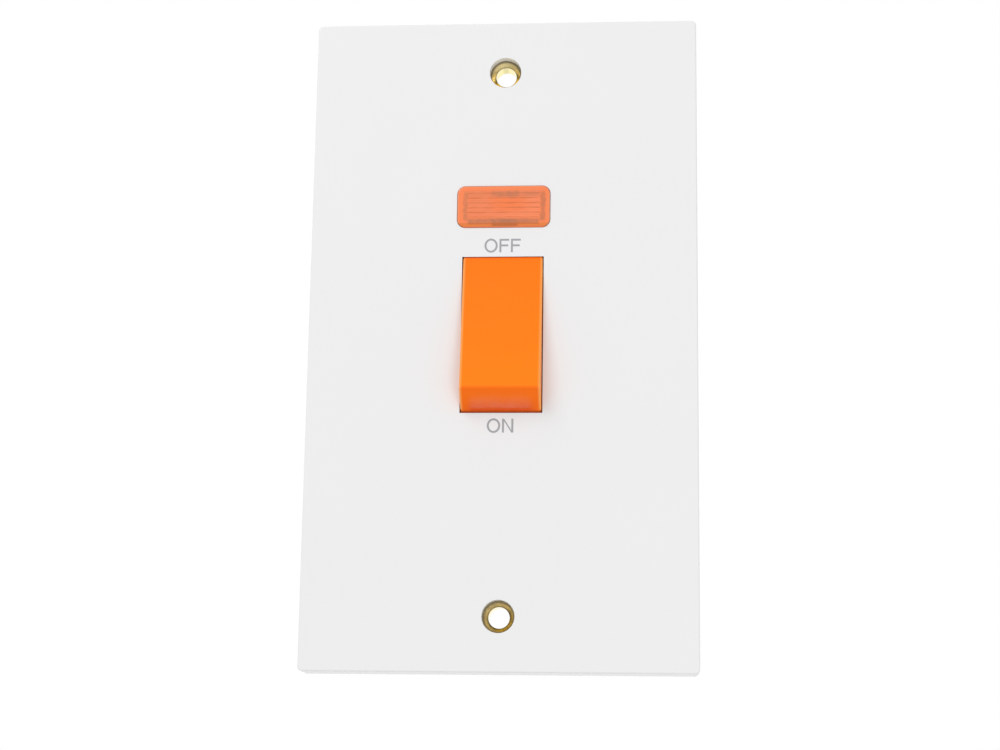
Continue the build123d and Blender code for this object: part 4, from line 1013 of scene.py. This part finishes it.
class SWITCH_OT_lamp(Operator):
    """Finish the lens, the lamp, its resistor and its leads"""

    bl_idname = "switch.lamp"
    bl_label = "Finish Lamp"

    def execute(self, context):
        nickel = (0.66, 0.63, 0.58)
        drawn = (8.0, 1.0, 1.0)
        blue = (0.03, 0.12, 0.5)
        brown = (0.16, 0.06, 0.025)
        dress(lens_finish(tuple(context.scene.switch_colours.lens)), "neon_lens")
        dress(glass_finish(), "neon_glass")
        dress(metal_finish("lamp_nickel", nickel, 0.25, drawn, 1.0 * MM), "neon_electrodes")
        dress(resistor_finish(), "neon_resistor")
        dress(sleeve_finish("sleeve_blue", blue), "neon_lead_left")
        dress(sleeve_finish("sleeve_brown", brown), "neon_lead_right")
        return {"FINISHED"}


class SWITCH_OT_metals(Operator):
    """Finish the eyelets, the earth strap, the strips, the levers, the contacts and the terminals"""

    bl_idname = "switch.metals"
    bl_label = "Finish Metals"

    def execute(self, context):
        brass = tuple(context.scene.switch_colours.brass)
        copper = (0.85, 0.45, 0.3)
        silver = (0.88, 0.87, 0.84)
        rolled = (1.0, 1.0, 14.0)
        dress(eyelet_finish(tuple(context.scene.switch_colours.eyelet)), "upper_eyelet", "lower_eyelet")
        dress(metal_finish("strip_brass_rolled", brass, 0.22, rolled, 3 * MM),
              "earth_strap", *both("load_strip"), *both("supply_strip"))
        dress(metal_finish("terminal_brass_drawn", shade(brass, 0.95), 0.28, rolled, 4 * MM),
              "earth_terminal", *both("load_terminal"), *both("supply_terminal"))
        dress(metal_finish("lever_copper_rolled", copper, 0.25, rolled, 3 * MM), *both("contact_lever"))
        dress(metal_finish("contact_silver_turned", silver, 0.22, EVEN, 1 * MM),
              *both("moving_contact"), *both("fixed_contact"))
        return {"FINISHED"}


class SWITCH_OT_lettering(Operator):
    """Print OFF above the rocker and ON below it"""

    bl_idname = "switch.lettering"
    bl_label = "Add Lettering"

    def execute(self, context):
        sizes = context.scene.switch_sizes
        ink = ink_finish(tuple(context.scene.switch_colours.ink))
        height = sizes.letter_height
        stroke = sizes.letter_stroke
        o_width = 0.95 * height
        o_height = 1.05 * height
        f_width = 0.7 * height
        n_width = 0.8 * height
        round_o = ring_letter(o_width, o_height, stroke)
        tall_f = letter_f(f_width, height, stroke)
        tall_n = letter_n(n_width, height, stroke)
        words = {
            "off_print": ([round_o, tall_f, tall_f], sizes.letter_middle + sizes.letter_offset),
            "on_print": ([round_o, tall_n], sizes.letter_middle - sizes.letter_offset),
        }
        for name, (letters, level) in words.items():
            middle = (sizes.letter_shift, level)
            piece = printed(name, word(letters, sizes.letter_gap), sizes.print_thickness, middle, ink)
            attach(piece, "housing")
        return {"FINISHED"}


class SWITCH_OT_screws(Operator):
    """Make the threaded screws of the terminals, the earth and the mechanism"""

    bl_idname = "switch.screws"
    bl_label = "Add Screws"

    def execute(self, context):
        sizes = context.scene.switch_sizes
        plating = (0.56, 0.55, 0.51)
        steel = metal_finish("screw_plated_steel", plating, 0.24, EVEN, 1.5 * MM)
        tree = screw_tree()
        shared = {
            "Head Height": sizes.head_height, "Edge Radius": 0.2 * sizes.head_height,
            "Slot Width": sizes.slot_width, "Slot Depth": sizes.slot_depth, "Material": steel}
        clamp = {
            **shared, "Shank Radius": sizes.clamp_shank, "Head Radius": sizes.clamp_head,
            "Thread Pitch": sizes.clamp_pitch, "Thread Depth": 0.5 * sizes.clamp_pitch}
        fixing = {
            **shared, "Shank Radius": sizes.fixing_shank, "Head Radius": sizes.fixing_head,
            "Thread Pitch": sizes.fixing_pitch, "Thread Depth": 0.4 * sizes.fixing_pitch}
        kinds = {"terminal_screws": clamp, "earth_screw": clamp, "mechanism_screws": fixing}
        for node, values in kinds.items():
            low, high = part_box(node)
            head = values["Head Radius"]
            seat = high.y - sizes.head_height
            across = {low.x + head, high.x - head} if high.x - low.x > 3 * head else {(low.x + high.x) / 2}
            if node == "terminal_screws":
                rows = [low.z + head, low.z + head + sizes.clamp_spacing,
                        high.z - head - sizes.clamp_spacing, high.z - head]
            elif node == "mechanism_screws":
                rows = [low.z + head, high.z - head]
            else:
                rows = [(low.z + high.z) / 2]
            points = [(x, seat, z) for x in sorted(across) for z in rows]
            piece = grown(node + "_threaded", tree, points, {**values, "Shank Length": seat - low.y})
            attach(piece, "housing")
            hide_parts(node)
        return {"FINISHED"}


class SWITCH_OT_springs(Operator):
    """Wind the two plunger springs and attach them to the rocker"""

    bl_idname = "switch.springs"
    bl_label = "Add Springs"

    def execute(self, context):
        sizes = context.scene.switch_sizes
        bright = (0.56, 0.56, 0.57)
        steel = metal_finish("spring_bright_steel", bright, 0.25, EVEN, 1 * MM)
        tree = spring_tree()
        for side in SIDE_NAMES:
            slide = JOINTS["plunger_" + side + "_slide"]
            axis = Vector(slide["axis"])
            node = "plunger_spring_" + side
            low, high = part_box(node)
            centre = Vector(((low.x + high.x) / 2, PIVOT.y, PIVOT.z))
            start = centre + axis * sizes.spring_start
            piece = grown(node + "_wound", tree, [start], {
                "Wire Radius": sizes.spring_wire, "Coil Radius": sizes.spring_coil,
                "Length": sizes.spring_length, "Turns": float(sizes.spring_turns),
                "Tilt": math.atan2(-axis.y, axis.z), "Material": steel})
            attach(piece, "rocker")
            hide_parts(node)
            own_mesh(piece)
        return {"FINISHED"}


class SWITCH_OT_stage(Operator):
    """Set the floor, the light and the camera"""

    bl_idname = "switch.stage"
    bl_label = "Set Stage"

    def execute(self, context):
        stage = context.scene.switch_stage
        key_place = (-0.55, -0.75, 0.85)
        key_size = 0.6
        fill_place = (0.4, -0.82, -0.45)
        fill_size = 0.36
        context.scene.view_settings.view_transform = "Standard"
        add_floor(CAD_LOW.z - stage.floor_drop)
        add_sky(stage.sky_level)
        add_lamp("key_lamp", key_place, key_size, stage.key_power)
        add_lamp("fill_lamp", fill_place, fill_size, stage.fill_power)
        add_camera(stage.focal_length)
        return {"FINISHED"}


class SWITCH_PT_tools(Panel):
    """Steps that dress the switch, in order"""

    bl_label = "Double Pole Switch"
    bl_idname = "SWITCH_PT_tools"
    bl_space_type = "VIEW_3D"
    bl_region_type = "UI"
    bl_category = "Switch"

    def draw(self, context):
        for step in STEPS:
            self.layout.operator(step.bl_idname)
        for name in GROUPS:
            settings = getattr(context.scene, name)
            for key in settings.bl_rna.properties.keys():
                if key not in ("rna_type", "name"):
                    self.layout.prop(settings, key)


STEPS = (SWITCH_OT_mouldings, SWITCH_OT_lamp, SWITCH_OT_metals, SWITCH_OT_lettering, SWITCH_OT_screws,
         SWITCH_OT_springs, SWITCH_OT_stage)
GROUPS = {"switch_sizes": SwitchSizes, "switch_colours": SwitchColours, "switch_stage": SwitchStage}
CLASSES = (*GROUPS.values(), *STEPS, SWITCH_PT_tools)


def register():
    """Make the classes and the settings known to Blender."""
    for item in CLASSES:
        bpy.utils.register_class(item)
    for name, group in GROUPS.items():
        setattr(bpy.types.Scene, name, PointerProperty(type=group))


def unregister():
    """Take the settings and the classes away again."""
    for name in GROUPS:
        delattr(bpy.types.Scene, name)
    for item in reversed(CLASSES):
        bpy.utils.unregister_class(item)


def main():
    """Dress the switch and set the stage."""
    register()
    bpy.ops.switch.mouldings()
    bpy.ops.switch.lamp()
    bpy.ops.switch.metals()
    bpy.ops.switch.lettering()
    bpy.ops.switch.screws()
    bpy.ops.switch.springs()
    bpy.ops.switch.stage()


if __name__ == "__main__":
    main()
